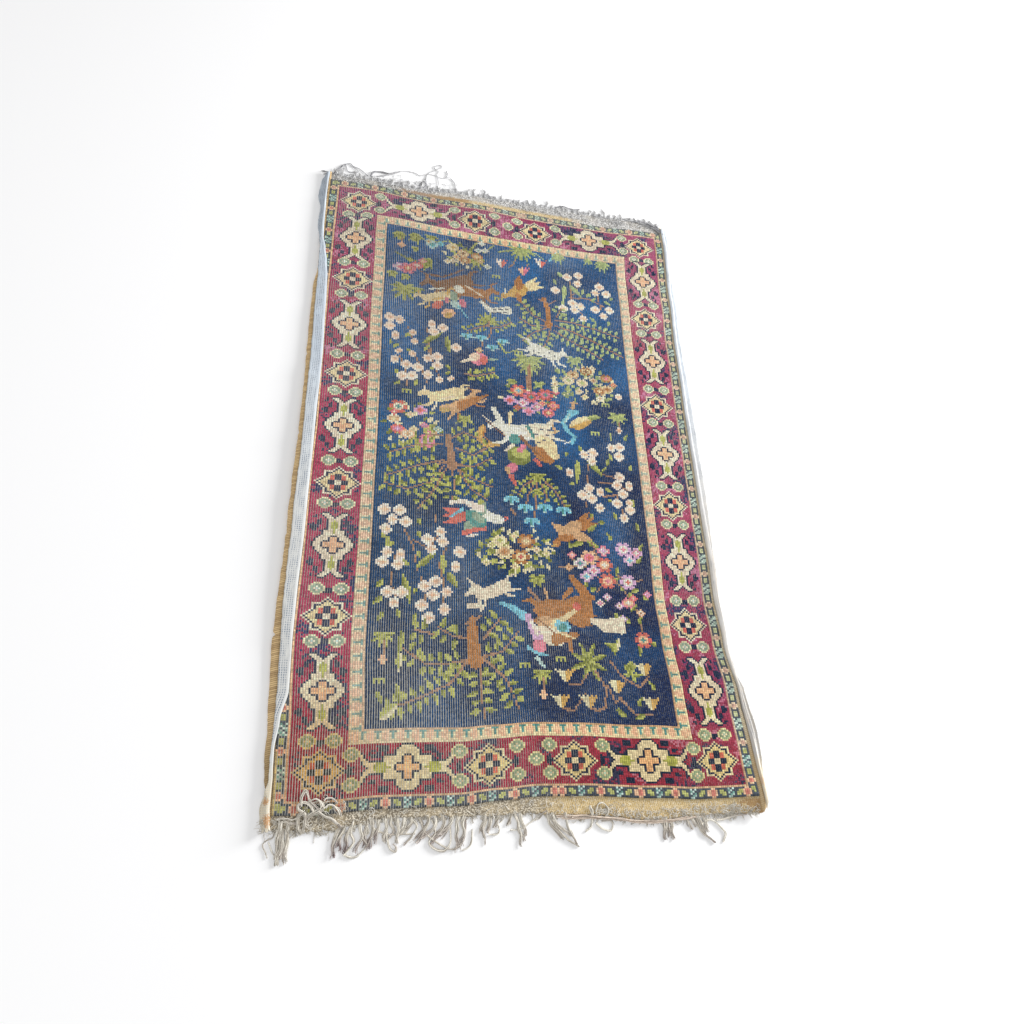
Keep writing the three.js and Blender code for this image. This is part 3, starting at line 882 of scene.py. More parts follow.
# %% Twigs of the white blossom, its leaves and its flowers
draw("""
stem wood 2.8: 38 144 38 129 41 119 45 113 / 44 148 42 136 37 129 / 56 147 55 131 57 117 /
37 129 49 130 58 125 / 42 -2 39 -8 38 -20 36 -38 / 40 -8 47 -14 58 -17 / 44 -20 52 -20 61 -24 /
46 -30 54 -28 57 -46 / -55 -60 -51 -70 -49 -84 / -41 -50 -40 -62 -43 -70 /
-36 -70 -39 -80 -37 -90 -37 -104 / -59 -76 -60 -92 -57 -104 / -51 -66 -45 -70 /
-47 -88 -45 -100 -44 -112 / -46 71 -43 60 -40 48 / -60 60 -57 50 -56 38 / -52 62 -48 50 -46 42 /
-56 84 -54 76 / -46 85 -44 66; leaf 38 141 38 11 -50; -48 72 50 11 40; -35 81 42 10 -84;
39 -4 46 10 -48; -49 -83 46 11 44; -55 -86 54 12 -74; -35 -84 34 12 -58; -63 -90 18 9 230;
-63 -100 18 9 220; -62 -108 18 8 240; -57 -106 18 8 -70; -48 -108 18 8 250; -50 -98 14 6 60;
-48 -52 14 8 -80; -49 -60 14 7 -60; 28 145 18 8 -70; 31 151 14 8 -40; 51 127 18 7 60;
59 130 18 7 -30; 49 113 18 7 -40; 61 112 14 7 -100; 63 131 14 6 60; 50 107 14 6 -70;
-56 66 14 6 -30; -36 58 18 7 -50; -36 50 14 6 30; -59 41 14 7 220; -64 68 14 6 100; 50 -8 18 7 70;
51 -40 18 7 -70; 63 -30 18 7 -90; 63 -46 22 8 -70; 46 -48 14 7 180; 49 -32 14 6 -20;
40 -42 14 6 230; 47 -12 14 6 40; 27 -4 14 6 60; 35 6 18 8 -70; 62 12 18 7 60;
blade 35 140 44 11 -97; 34 -5 48 11 -96; -37 -74 32 10 -86; -59 -68 16 8 200; -61 -64 16 8 240;
-49 -72 16 8 -60; -52 -82 16 7 130; -65 -66 16 8 60; 48 132 16 7 40; 32 125 16 7 -60;
35 113 16 7 200; 47 139 16 7 -110; -57 76 20 8 40; -60 70 16 7 230; -47 66 20 6 60;
-50 44 16 7 -110; -62 50 16 7 -60; -44 53 12 6 20; 25 -13 16 8 150; 48 -24 16 8 -30; 63 -10 16 7 60;
52 2 16 7 -70; 31 -22 12 6 200; blossoms: 37 148 44 151 43 143 29 134 57 143 54 137 61 137 39 124
44 122 33 118 40 118 45 111 53 121 62 122 58 116 -65 90 -60 89 -43 89 -37 87 -65 83 -62 76 -42 83
-30 72 -62 57 -56 54 -50 53 -45 61 -40 63 -40 56 -45 48 -53 46 -58 45 54 6 59 7 43 1 38 -1 58 0
42 -5 29 -15 57 -15 55 -21 62 -21 58 -27 39 -25 45 -27 35 -30 40 -32 44 -38 54 -34 61 -38 57 -44
-64 -48 -57 -48 -60 -54 -54 -55 -63 -60 -38 -60 -44 -65 -37 -66 -42 -71 -29 -72 -62 -74 -56 -75
-64 -80 -57 -81 -31 -81 -61 -97 -55 -97 -58 -103 -45 -93 -40 -90 -35 -96 -41 -98 -46 -104 -36 -106
-43 -111; 14: -53 80 -52 73 -60 64 -53 63 -39 45 -33 47 61 -33 62 47
""")

# %% The top quarter of the field
draw("""
stem wood: -61 158 -61 155; sprig -62 163 22; -53 164 24 6 120; -53 153 12 4 110;
starlet -61 153 peach peach tan; stem moss: -48 165 -44 160 -36 163; sprig -44 165 18 4 150;
starlet -39 160 sky sky teal; cross -44 157 mint sky teal; starlet -46 160 mint;
stem moss 3.4: -35 165 -31 160 -27 153; moss: -28 164 -24 158 -18 157 / -18 167 -22 159 /
-8 167 -14 159; strewn -26 153 60 50 22 3; sprig -18 150 26 6 210; daisy -32 158 straw reed gold;
-26 155 tan straw brown; -25 149 tan rust straw; -18 154 rust tan straw; starlet -30 151 straw tan;
-16 150 gold; -35 145 ivory straw tan; -32 146 straw ivory tan; -15 167 ivory ivory mint;
-13 161 ivory ivory mint; -17 159 ivory mint sage; -12 145 ivory mint straw;
stem moss 4 3: -5 162 3 166 10 168 / 10 167 18 166 22 162; sprig 9 169 42 9 170;
stem wood: 5 157 4 153 1 149 / 12 154 13 150; cup -3 151 blossom coral 12 23;
10 147 peach rose 12 23; 21 157 blossom coral 12 23; stem sky 5 3: 26 161 30 170;
sprig 32 170 30 6 110; 52 170 24 4 70 -110; 60 169 34 6 110; mark -7 138; -6 118;
stem olive: -64 146 -58 143 -52 142; sprig -44 146 36 6 70 -120; cross -62 134 lilac ivory rose;
wildrose -57 133 rose coral straw; daisy -52 138 coral rose cream; starlet -56 142 olive moss gold;
-49 143 rose tan straw; sprig -65 129 18 4 120; -58 128 16 4 120; -58 116 34 9 260 -90 8;
-51 118 18 4 160; bird 8 129 92 215 gold rust straw -1 rust ivory
""")

# %% Two beasts leaping over each other, and a bird's bright tail
draw("""
stem brown 5 3: -45 132 -38 131 -32 135 -26 140; beast -33 125 104 26 brown rust -1 - brown;
-20 120 90 -10 rust brown 1 brown rust; -42 112 72 24 straw gold -1 gold;
stem cream: -25 126 -15 118; ivory 4: -45 119 -37 121; oval -40 106 24 15 coral 50;
-26 110 13 22 rose 20; -35 111 10 12 rose; -28 122 17 22 ivory 30; -31 115 16 26 sage 10;
-30 108 24 15 mint -30; -34 100 26 20 peach 30; -34 98 16 14 gold 30; stem sky 4 3: -29 107 -24 98;
ivory 7 18: -16 113 -11 107 -1 109; slate 2.4: -10 105 -2 107 / -9 108 -1 110
""")

# %% The second quarter: a leafy tree, a spotted dog, a palm and a peacock
draw("""
bough 14 7 11.5: 27 106 37 106 51 103 66 98 / 27 101 37 98 51 91 67 81 / 21 104 14 108 8 117 /
21 100 12 99 6 104 / 22 99 14 93 7 85 / 24 99 22 89 19 81 / 26 97 33 91 43 85 54 77 / 28 109 31 117;
stem rust 9 14: 21 124 23 115 23 101; wood 4 3: 23 121 18 123 / 24 120 28 124;
sprig -12 96 28 8 210 90; stem wood 3.5: -12 97 -11 88 -13 82; bough 11 6 9: -12 94 -18 91 -24 87 /
-11 92 -6 93 1 99; stem wood: -16 80 -17 70; moss: -7 80 -3 72 3 76; bell -24 84; -16 84; -10 77;
-4 83; beast 20 76 84 -22 ivory ivory 1 ivory - slate; stem ivory 5: 9 79 15 79; mark 4 74;
oval -18 65 34 28 rose 10; -20 66 24 18 blush 20; -15 64 12 20 coral; stem cream 8 4: -22 64 -28 61;
sage 5 3: -13 65 -8 66; starlet -18 72 tan; sprig 10 71 44 9 190 -90 8; 10 66 30 6 120 -90 7;
stem wood 6 11: 10 64 9 54 9 44; sprig 0 51 16 4; 15 51 18 4 180;
bough 13 7 8: -26 52 -20 51 -10 55; sprig 37 75 26 6 180 -90 7; 60 32 26 7 200 -90 7;
stem wood: 60 26 60 22; flower 60 20 15 6 blossom; oval 60 20 8 7 peach; mark 53 39; 45 16; -56 34;
stem moss 5 3: 54 17 54 12; strewn 9 38 100 70 20 5; wildrose 3 42 coral peach sky;
18 41 coral rose teal; 10 39 rose coral teal; cross -2 35 lilac rose coral; 5 34 lilac ivory rose;
13 31 lilac rose ivory; 8 27 lilac rose rose; daisy 19 27 rose coral straw;
cross 22 34 coral peach rose; starlet 24 44 coral rose straw; 2 29 coral rust rose;
16 35 peach coral rose; strewn 42 54 130 72 96 7; daisy 35 61 tan; 43 65 rust straw brown;
32 55 straw cream moss; 40 54 cream straw moss; starlet 47 67 straw ivory tan;
daisy 55 61 rust tan rose; 55 52 straw tan; 50 50 tan rust straw; starlet 38 48 cream straw tan;
47 58 cream tan; 59 55 tan coral straw; 50 43 ivory straw tan; 24 52 cream straw tan;
41 43 straw straw moss; beast -37 33 84 20 straw cream -1 straw; stem straw 10 4: -30 37 -24 41;
oval -36 24 24 16 khaki 20; beast -26 29 74 30 tan rust 1 tan; stem rust 18 4: -28 27 -20 33 -14 37;
sprig -26 18 22 5 220
""")

# %% The middle: a large pale beast, a peacock, and flowers on the left
draw("""
stem gold 12 9: -17 12 -20 6 -16 0 -10 1; rust 4 4: -16 12 -17 6 -14 3;
beast 5 11 118 12 ivory cream -1 cream; oval 14 12 54 34 cream -20; 17 4 44 30 straw -30;
15 -4 46 24 rust -36; 20 -2 30 18 straw -40; 2 -6 44 36 olive; 3 -4 34 22 moss; 0 6 22 22 teal;
stem teal 8 6: 7 16 10 9; brown 8 5: 3 8 6 3 10 -1; ivory 9 14: -11 27 -8 19 -4 10;
straw 8 6: -2 25 -3 17; cream 3.4: -17 21 -5 9; brown 2.4: -15 17 -6 8; brown: 7 2 14 -6;
oval -2 -15 22 18 rose 50; stem tan 9 5: -5 -16 -4 -20; coral 9 6: -3 -21 -1 -27;
coral 8 5: 10 -8 13 -12; rose 11 9: 4 1 2 -2; straw 5 3: 19 13 24 15;
leaf 31 19 58 24 26 straw gold; 42 27 28 11 14; stem sky 9 8: 35 31 31 28 27 22 29 16 33 12 31 7;
mint: 32 31 30 26 28 22; oval 33 31 18 10 sky 10; stem ivory: 30 8 27 6; tan 7 4: 33 34 34 39;
tan: 32 38 36 38; tan 5 4: 21 19 22 13; oval 15 15 4 3.4 slate; 18 11 4 3.4 slate;
12 11 4 3.4 slate; 21 8 4 3.4 slate; 16 7 4 3.4 slate; 9 14 4 3.4 slate; 19 15 4 3.4 slate;
13 5 4 3.4 slate; strewn -53 10 100 84 56 9; wildrose -60 22 coral cream teal;
cross -49 21 lilac rose coral; daisy -62 13 cream tan straw; -60 6 coral rose lilac;
-55 2 peach cream tan; starlet -47 10 rose lilac rose; daisy -44 5 tan straw rose;
wildrose -46 -1 rose lilac rose; starlet -62 17 coral rose straw; -54 16 straw cream tan;
-40 8 mint sage straw; -52 7 straw reed tan
""")

# %% The third quarter: a tree on the left, a drooping plant, and two birds
draw("""
bough 15 8 12.5: -38 -2 -50 -4 -63 -10 / -37 -13 -50 -18 -64 -26 / -37 -17 -44 -29 -55 -34 -65 -31 /
-36 -19 -42 -34 -49 -46 / -33 -19 -32 -30 -33 -40 / -31 -16 -22 -16 -13 -9 /
-31 -18 -22 -25 -13 -29 / -30 -20 -23 -32 -16 -38 / -31 -4 -22 -8 -13 0 / -34 2 -27 8 -20 4 /
-38 4 -46 4; stem wood 9 17: -35 4 -34 -6 -33 -17; wood 5 3: -35 -14 -40 -16 / -32 -15 -26 -16;
bough 12 6 9: 10 -21 3 -27 -2 -37 / 13 -21 20 -29 25 -41; 9 5 11: 12 -23 15 -33 13 -40;
stem wood: 10 -23 9 -37 8 -49 / 9 -24 5 -34 4 -41; sprig 11 -18 24 6 170; 10 -29 18 4 120 -90 5;
bell -3 -35 17; 4 -40 17; 14 -39 17; 24 -40 17; 7 -49 17; stem wood 5 3: -4 -43 -2 -47;
bird -22 -49 96 2 ivory sage coral -1 coral; stem blossom 6 13: -34 -41 -27 -40 -19 -44;
sky 6 4: -28 -45 -34 -50; coral 6 4: -27 -49 -34 -54; oval -21 -51 42 24 teal -40;
-20 -50 28 13 sage -40; stem coral 9 6: -27 -60 -22 -58 -17 -57; blossom 4 3: -26 -62 -21 -61;
oval -11 -51 30 14 ivory -6; stem coral 4: -7 -51 -6 -50; bird 28 -55 92 214 rust tan rust;
stem tan 9 4: 21 -57 17 -51; oval 28 -53 40 22 tan 30; leaf 36 -55 24 9 40; 35 -61 26 10 -30;
33 -62 24 9 200; stem wood: 36 -61 39 -66
""")

# %% The third quarter: flower clusters below the birds
draw("""
strewn -2 -70 122 74 100 13; wildrose -8 -71 straw tan; 3 -64 rust tan straw;
0 -74 rust straw coral; daisy -10 -64 straw reed moss; starlet -3 -61 reed straw tan;
8 -69 straw cream tan; -14 -68 reed moss straw; -3 -81 straw reed tan; 13 -71 reed straw moss;
-17 -78 reed straw moss; stem wood: 38 -67 44 -80 53 -92 59 -106 59 -116 / 25 -73 34 -79 40 -85 /
49 -82 57 -86 63 -84 / 44 -84 38 -93 / 19 -79 28 -78; leaf 61 -74 20 7 50; 63 -66 18 7 60;
51 -76 20 7 -110; 49 -60 18 7 120; 27 -67 14 7 120; 32 -91 14 7 60; 47 -86 16 7 30; 38 -91 14 7 200;
51 -92 18 7 50; 61 -90 16 7 200; 42 -98 14 7 30; 46 -105 14 7 -60; 55 -104 18 7 40;
51 -106 16 7 240; 54 -112 14 7 120; 58 -112 18 7 60; 63 -122 14 7 -20; 57 -124 20 7 -96;
66 -96 14 7 160; 55 -92 14 7 -60; wildrose 35 -72 peach rose coral; 43 -76 coral peach ivory;
cross 43 -67 rose ivory lilac; 37 -81 lilac ivory rose; 30 -76 ivory lilac teal;
33 -84 lilac ivory sky; wildrose 54 -65 lilac ivory rose; cross 61 -67 lilac rose ivory;
57 -72 lilac blossom sky; wildrose 55 -86 lilac ivory coral; 44 -86 coral peach rose;
starlet 26 -71 rose peach lilac; 24 -79 tan peach; 43 -96 lilac ivory rose;
39 -100 blossom rose lilac; 49 -101 lilac blossom; daisy 54 -99 rose peach ivory;
starlet 65 -93 rose lilac rose; 60 -105 peach blossom; 57 -96 coral rose straw;
50 -109 lilac ivory rose; wildrose 59 -121 coral peach teal
""")

# %% The bottom quarter: the last beasts, a leafy tree, and a plant with golden cups
draw("""
beast -15 -96 74 26 cream cream -1 cream; stem cream 9 3: -21 -94 -26 -88; oval -8 -92 22 22 cream;
stem cream 10 5: -25 -104 -19 -104; sprig 8 -86 22 6 190 -90 7; stem wood 6 4: 3 -94 7 -99 10 -108;
tan 5 4: 11 -93 12 -99; beast 20 -105 108 4 rust brown 1 rust;
stem rust 26 9: 31 -105 31 -94 25 -85; oval 28 -106 52 50 rust 60; stem rust 9 6: 24 -93 20 -98;
oval 11 -107 40 20 rust -8; 14 -117 56 34 tan -30; 12 -121 56 28 cream -14; 17 -114 24 20 straw;
stem brown: 6 -111 17 -122; rust 18 8: 15 -123 25 -120; straw: 16 -119 24 -122;
rust 7 4: 21 -124 22 -131; oval 19 -115 26 20 sky -20; 19 -116 16 12 teal -20;
stem straw 9 6: 19 -111 26 -105; oval 27 -103 12 12 coral;
stem cream 10 28: 34 -111 40 -114 48 -113; cream 5 8: 34 -111 46 -110;
sky 5 14: -11 -102 -5 -105 0 -110; lilac 9 16: 2 -110 3 -115 6 -122; blossom 5 8: 3 -112 6 -120;
oval 7 -127 24 20 rose -30; stem sky 6 4: 1 -128 5 -131 10 -132; mint 7 4: 5 -134 8 -139;
mark 16 -134; -1 -138; -64 -145; leaf 39 -124 28 8 -14; 44 -129 26 9 70 moss reed; 43 -125 16 9 -80;
bough 18 8.5 13 80 4.2: -26 -134 -35 -136 -45 -136 -54 -128 / -27 -135 -34 -146 -48 -154 -62 -160 /
-20 -133 -11 -130 -3 -119 / -19 -134 -10 -145 -5 -161 / -21 -137 -21 -151 -20 -165 /
-27 -122 -33 -121 -39 -116 / -19 -123 -15 -117 -11 -111 / -41 -120 -49 -118;
stem rust 12 23: -24 -112 -24 -123 -23 -135; wood 5 3: -23 -112 -20 -110 / -25 -113 -27 -114;
sprig -62 -120 24 6 170; stem wood: -62 -124 -62 -131; flower -62 -134 15 6 peach;
leaf -54 -118 40 9 -98; -55 -130 30 9 -94 reed moss; -63 -164 34 15 40 moss reed; -57 -146 30 8 -70;
-65 -150 24 8 -60; sprig 7 -141 24 6 170; stem wood: 7 -145 7 -151; flower 7 -154 15 6 peach;
sprig 50 -141 22 5 250 60
""")
for number in range(8):
    leaf(30, -135, 33, 9, 22 + 45 * number)
draw("""
stem wood 3.4: 32 -140 36 -149 35 -160 31 -162 27 -160 / 28 -142 24 -148 19 -148 /
26 -153 20 -162 15 -161 / 40 -134 45 -143 53 -148 58 -142 / 37 -148 40 -157 43 -154 /
42 -154 49 -163 57 -163 / 46 -145 43 -149; cup 18 -143; 15 -157; 28 -157; 42 -148; 57 -138; 58 -157;
leaf 48 -142 17 8 60; 41 -159 17 8 -70; 51 -159 17 8 60; 45 -164 17 8 150; 54 -163 17 8 200;
61 -150 17 8 120; 48 -137 17 8 30
""")

print("knots of each wool:", dict(zip(WOOLS, np.bincount(cartoon.ravel(), minlength=len(WOOLS)))))

# %% [markdown]
# ## Age
# Two things make the wool look old. It fades unevenly, so that each knot is a little lighter or
# darker and whole patches drift in colour. And it wears down, most on the left, at the bottom
# and in the middle, until the pale cotton between the columns of knots shows as thin lines. The
# colour of every knot goes into a colour attribute, and how much cotton shows into its fourth
# number.

# %% How worn each knot is
dots = np.random.default_rng(11)
knot_x, knot_y = np.meshgrid(column_x, row_y)


def rise(places, low, high, least=0.0, most=1.0):
    """0 at the place low, 1 at the place high, and straight between; either may come first."""
    return np.clip((places - low) / (high - low), least, most)


# Dye lots: every few rows the yarn changes a little, and slow clouds fade whole patches.
lots = 1 + 0.05 * clouds(knot_x, knot_y, 900, 14, 21) + 0.07 * clouds(knot_x, knot_y, 90, 70, 22)
single = 1 + 0.28 * dots.uniform(-1, 1, knot_x.shape)
worn_side = rise(knot_x, 120, -210)
worn_foot = rise(knot_y, -250, -510) * rise(knot_x, 160, -40, 0.15)
worn_head = rise(knot_y, -60, 200) * rise(knot_x, -60, 100)
worn_foot = worn_foot * np.where(bands == MIDDLE, 0.4, 0.18)
patches = clouds(knot_x, knot_y, 70, 90, 23)
wear = 0.32 + 0.32 * worn_side + worn_foot + 0.16 * worn_head + 0.2 * patches
wear = np.clip(wear - 0.12 * (bands < MIDDLE) + 0.1 * (bands == MAIN), 0.1, 1)

# %% The colour of each knot
knot_colours = np.array([linear(colour) for colour in WOOLS.values()])[cartoon]


def toned(colours, share, tint):
    """The colours with that share of each gone over to a tint, which is a screen colour."""
    return colours * (1 - share[..., None]) + linear(tint) * share[..., None]


def of_wool(*names):
    return np.isin(cartoon, [wool_number[name] for name in names])


# The blue has faded to grey where it is worn, stays deep low on the right, and is paler and
# greener towards the top.
blue = of_wool("navy") & (bands == MIDDLE)
deep = 0.55 + 0.5 * clouds(knot_x, knot_y, 60, 75, 24) - 0.35 * worn_head
deep = deep + knot_x / 1200 + 0.35 * rise(knot_y, -150, -400)
blues = toned(linear((10, 38, 80)), np.clip(1.0 - deep, 0, 1), (40, 98, 150))
blues = toned(blues, 0.4 * worn_side * rise(knot_y, 200, -100), (36, 62, 88))
knot_colours[blue] = blues[blue]

# The greens have faded with it, most at the upper right.
green = of_wool("moss", "olive") & (bands == MIDDLE)
knot_colours = toned(knot_colours, 0.5 * worn_head * green, (172, 198, 156))

# The crimson turns purplish at the two upper corners, and has blue blotches and pink flecks.
red = of_wool("crimson") & (bands == MAIN)
purple = rise(knot_y, 250, 550) * np.clip(0.4 + np.abs(knot_x) / 500, 0, 1)
purple = purple + 0.3 * rise(knot_x, 250, 310)
purple = np.clip(purple + 0.25 * clouds(knot_x, knot_y, 50, 60, 25), 0, 0.8)
reds = toned(knot_colours, purple, (146, 72, 116))
faded = 0.5 * rise(knot_x, 200, 260) * rise(knot_y, -420, -270)
reds = toned(reds, faded + 0.35 * worn_side * rise(knot_y, -450, -300), (180, 88, 116))
blotch = clouds(knot_x, knot_y, 26, 22, 26) + 0.35 * dots.uniform(-1, 1, knot_x.shape)
near_cartouche = np.abs(np.abs(knot_x) - END_CARTOUCHE * KNOT_ACROSS) < 85
blotch = blotch + np.where(near_cartouche & (np.abs(knot_y) > 480), 0.16, -0.02)
reds = toned(reds, 0.6 * (1 - 0.9 * worn_side) * rise(blotch, 0.22, 0.62), (92, 58, 108))
reds[blotch > 0.62] = linear((56, 60, 98))
reds[(blotch < -0.62) & ((knot_y > 150) | (knot_x > 150))] = linear((196, 120, 150))
knot_colours[red] = reds[red]

# The navy of the main border has gone grey on the left.
greyed = 0.35 * worn_side * of_wool("navy") * (bands == MAIN)
knot_colours = toned(knot_colours, greyed, (88, 90, 102))

# The outer guard has bleached, most on the right and along the top.
head = (knot_y > 540) * (0.5 + 0.5 * np.exp(-((knot_x - 100) / 130) ** 2))
share = 0.15 + 0.35 * (knot_x > 0) * (np.abs(knot_y) < 500) + 0.45 * head
share = np.where(of_wool("navy"), 0.12 + 0.15 * head, share) * (bands == OUTER)
pale = np.where(of_wool("tan")[..., None], (244, 222, 200), (206, 212, 190))
knot_colours = toned(knot_colours, share, pale)
knot_colours[(knot_x < 4 - HALF_WIDTH) & (knot_y < -490)] = linear((206, 186, 132))

# The inner guard has gone pale down both sides, and most at the top right.
inner = bands == INNER
knot_colours = toned(knot_colours, 0.3 * rise(knot_x, 0, -200) * inner, (200, 200, 192))
knot_colours = toned(knot_colours, 0.4 * rise(knot_x, 0, 200) * rise(knot_y, -500, 0) * inner,
                     (232, 218, 200))

# The figures of the field are darker towards the upper left, and the creams of the main
# border are dirtier at the bottom.
darker_upper_left = 0.3 * ~blue * rise(knot_y, 150, 350) * rise(knot_x, 60, -90) * (bands == MIDDLE)
knot_colours = knot_colours * (1 - darker_upper_left)[..., None]
dirty = (bands == MAIN) * rise(knot_y, -350, -500)
knot_colours = knot_colours * (1 - dirty[..., None] * (0.07, 0.11, 0.32))
knot_colours = knot_colours * (lots * single)[..., None]

# A spill at the bottom-left corner has turned the pale wools gold, and left the dark ones.
stain = np.exp(-(((knot_x + 290) / 60) ** 2 + ((knot_y + 505) / 60) ** 2))
knot_colours = knot_colours * (1 - stain[..., None] * (0.26, 0.5, 0.78))
knot_colours = np.clip(knot_colours, 0.005, 0.9)
print("mean wear", wear.mean().round(2), "mean colour", knot_colours.mean((0, 1)).round(3))

# %% [markdown]
# ## The pile
# The knots stand in columns, and between two columns the pile parts, so the surface is a row of
# small ridges. A grid with two cells across each knot and one along it is enough: its points
# lie in the valleys and on the crowns by turns. The pile is cut into the field and the three
# bands around it, which keeps each mesh light and gives each its own room in the baked picture.

# %% The grid of valleys and crowns
VALLEY = 1.6
CROWN_UNEVEN = 0.3
RIB_WANDER = 0.45
SKIRT_OUT, SKIRT_HEIGHT = 0.5, 0.6

half_columns = np.concatenate([[-0.5], np.arange(2 * COLUMNS + 1) / 2, [COLUMNS + 0.5]])
grid_rows = np.concatenate([[-0.5], np.arange(ROWS + 1), [ROWS + 0.5]])
grid_u, grid_v = np.meshgrid(half_columns, grid_rows)


def pile_places():
    """Each grid point on the square design, wandering a little, then pulled and lifted. On a
    crown it is as high as the pile, in a valley lower, and on the outer skirt near the floor."""
    inside_u, inside_v = np.clip(grid_u, 0, COLUMNS), np.clip(grid_v, 0, ROWS)
    x = inside_u * KNOT_ACROSS - HALF_WIDTH
    y = inside_v * KNOT_ALONG - HALF_LENGTH
    calm_u, calm_v = (np.clip(np.minimum(inside, end - inside) / 3, 0, 1)
                      for inside, end in ((inside_u, COLUMNS), (inside_v, ROWS)))
    x = x + RIB_WANDER * calm_u * clouds(x, y, 9, 42, 31)
    y = y + RIB_WANDER * calm_v * clouds(x, y, 40, 30, 32)
    x, y = pulled(x, y)
    out_u, out_v = np.sign(grid_u - inside_u), np.sign(grid_v - inside_v)
    rough = CROWN_UNEVEN * np.random.default_rng(33).uniform(-1, 0.6, x.shape)
    high = PILE_THICKNESS - VALLEY * (inside_u % 1 == 0) + rough
    high = np.where((out_u != 0) | (out_v != 0), SKIRT_HEIGHT, high)
    x, y = x + SKIRT_OUT * out_u, y + SKIRT_OUT * out_v
    return np.stack([x, y, lift(x, y) + high], -1)


pile_points = pile_places()
cell_rows = np.clip(np.arange(len(grid_rows) - 1) - 1, 0, ROWS - 1)
cell_columns = np.clip((np.arange(len(half_columns) - 1) - 1) // 2, 0, COLUMNS - 1)
cell_band = bands[np.ix_(cell_rows, cell_columns)].ravel()
cell_knot = (cell_rows[:, None] * COLUMNS + cell_columns[None, :]).ravel()
pile_faces = grid_faces(*grid_u.shape)
print(f"{len(pile_faces)} cells for {ROWS * COLUMNS} knots")


# %% Room in the baked picture
def field_map(u, v, band):
    """The whole square for the field."""
    low = (np.array([COLUMNS, ROWS]) - FIELD) / 2
    return np.stack([(u - low[0]) / FIELD[0], (v - low[1]) / FIELD[1]], -1)


def ring_map(u, v, band):
    """Four upright strips, side by side: the left and right sides, and the ends on edge."""
    inset = (0 * OUTER_GUARD, OUTER_GUARD, OUTER_GUARD + MAIN_BORDER)[band]
    thick = (OUTER_GUARD, MAIN_BORDER, INNER_GUARD)[band]
    low, high = inset - 0.5, np.array([COLUMNS, ROWS]) - inset + 0.5
    middle_u, middle_v = u.mean(1, keepdims=True), v.mean(1, keepdims=True)
    left, right = middle_u < inset[0] + thick[0], middle_u > COLUMNS - inset[0] - thick[0]
    bottom = ~left & ~right & (middle_v < ROWS / 2)
    strip = np.where(left, 0, np.where(right, 1, np.where(bottom, 2, 3)))
    from_side = np.where(left, u - low[0], high[0] - u) / (thick[0] + 1)
    from_end = np.where(bottom, v - low[1], high[1] - v) / (thick[1] + 1)
    across = np.where(left | right, from_side, from_end)
    across = np.where(right | bottom, 1 - across, across)
    up_side = (v - low[1]) / (high[1] - low[1])
    along = np.where(left | right, up_side, (u - low[0]) / (high[0] - low[0]))
    return np.stack([(strip + 0.02 + 0.96 * across) / 4, along], -1)


# %% [markdown]
# The pile's finish reads the knot's own colour. Inside each knot it works in knot units: the
# distance from the nearest valley says where the cotton shows and where painted shade darkens
# the wool, painted shade falls between the rows too, a painted highlight pales the wool where
# the fibre noise is high, and two tufts make the small bumps along the column.


# %% The pile's finish
def pile_finish(name):
    finish = Finish(name, 0.95)
    across, along, cloth = finish.cloth()
    held = finish.node("ShaderNodeAttribute", {"attribute_name": "Wool"})
    wool, worn = held.outputs["Color"], Number(finish, held.outputs["Alpha"])
    side, row = peaks(across), peaks(along)
    whole = finish.node("ShaderNodeVectorMath", {"operation": "FLOOR"}, _0=cloth).outputs[0]
    own = finish.node("ShaderNodeTexWhiteNoise", {"noise_dimensions": "2D"}, Vector=whole)
    own = Number(finish, own.outputs["Value"])
    fibre = finish.noise(2.2, cloth, 3.0)
    edge = 1.0 - worn * 0.52 + own * 0.22 - (fibre - 0.5) * 0.35
    bare = finish.smooth_step(worn + own * 0.3, 0.1, 0.5)
    gap = finish.smooth_step(side - edge, -0.06, 0.12) * bare
    # Painted shade: the wool darkens towards each valley between the columns, and between the rows
    # of knots.
    shade = finish.smooth_step(side - edge, -0.5, -0.05) * 0.45
    shade = shade + finish.smooth_step(row, 0.6, 1.0) * 0.3
    painted_shade_colour = finish.mix(shade, wool, finish.mix(0.75, wool, (0.004, 0.005, 0.01, 1)))
    # Painted highlight: where the fibre noise is high, the wool is mixed towards a pale grey, as if
    # lit on the tops of the tufts.
    tuft_highlight = finish.mix(finish.smooth_step(fibre, 0.5, 0.8) * 0.32, painted_shade_colour,
                        finish.mix(0.5, wool, paint(220, 224, 224)))
    cotton = finish.mix(0.3, paint(234, 230, 216), wool)
    colour = finish.mix(gap * 0.92, tuft_highlight, cotton)
    height = (1 - side * side) * 0.6 + (1 - row * row) * 0.35 + fibre * 0.4
    return finish.finish(colour, height, strength=0.6, distance=0.0008)


PILE_FINISH = pile_finish("knotted wool")


# %% Pile pieces
four_of_knot = np.concatenate([knot_colours, wear[..., None]], -1).reshape(-1, 4)


def pulled_in(u, v):
    """The map of each face, a hair inside the knot that the face belongs to."""
    uv = np.stack([u, v], -1)
    return uv + (uv.mean(1, keepdims=True) - uv) * 0.002


def pile_piece(name, band, bake):
    chosen = np.flatnonzero(cell_band == band)
    corners = pile_faces[chosen]
    used, faces = np.unique(corners, return_inverse=True)
    faces = faces.reshape(corners.shape)
    u, v = grid_u.ravel()[corners], grid_v.ravel()[corners]
    four = four_of_knot[cell_knot[chosen]]
    add_piece(name, pile_points.reshape(-1, 3)[used], faces, PILE_FINISH, pulled_in(u, v),
              bake(u, v, band), np.repeat(four[:, None], 4, 1))


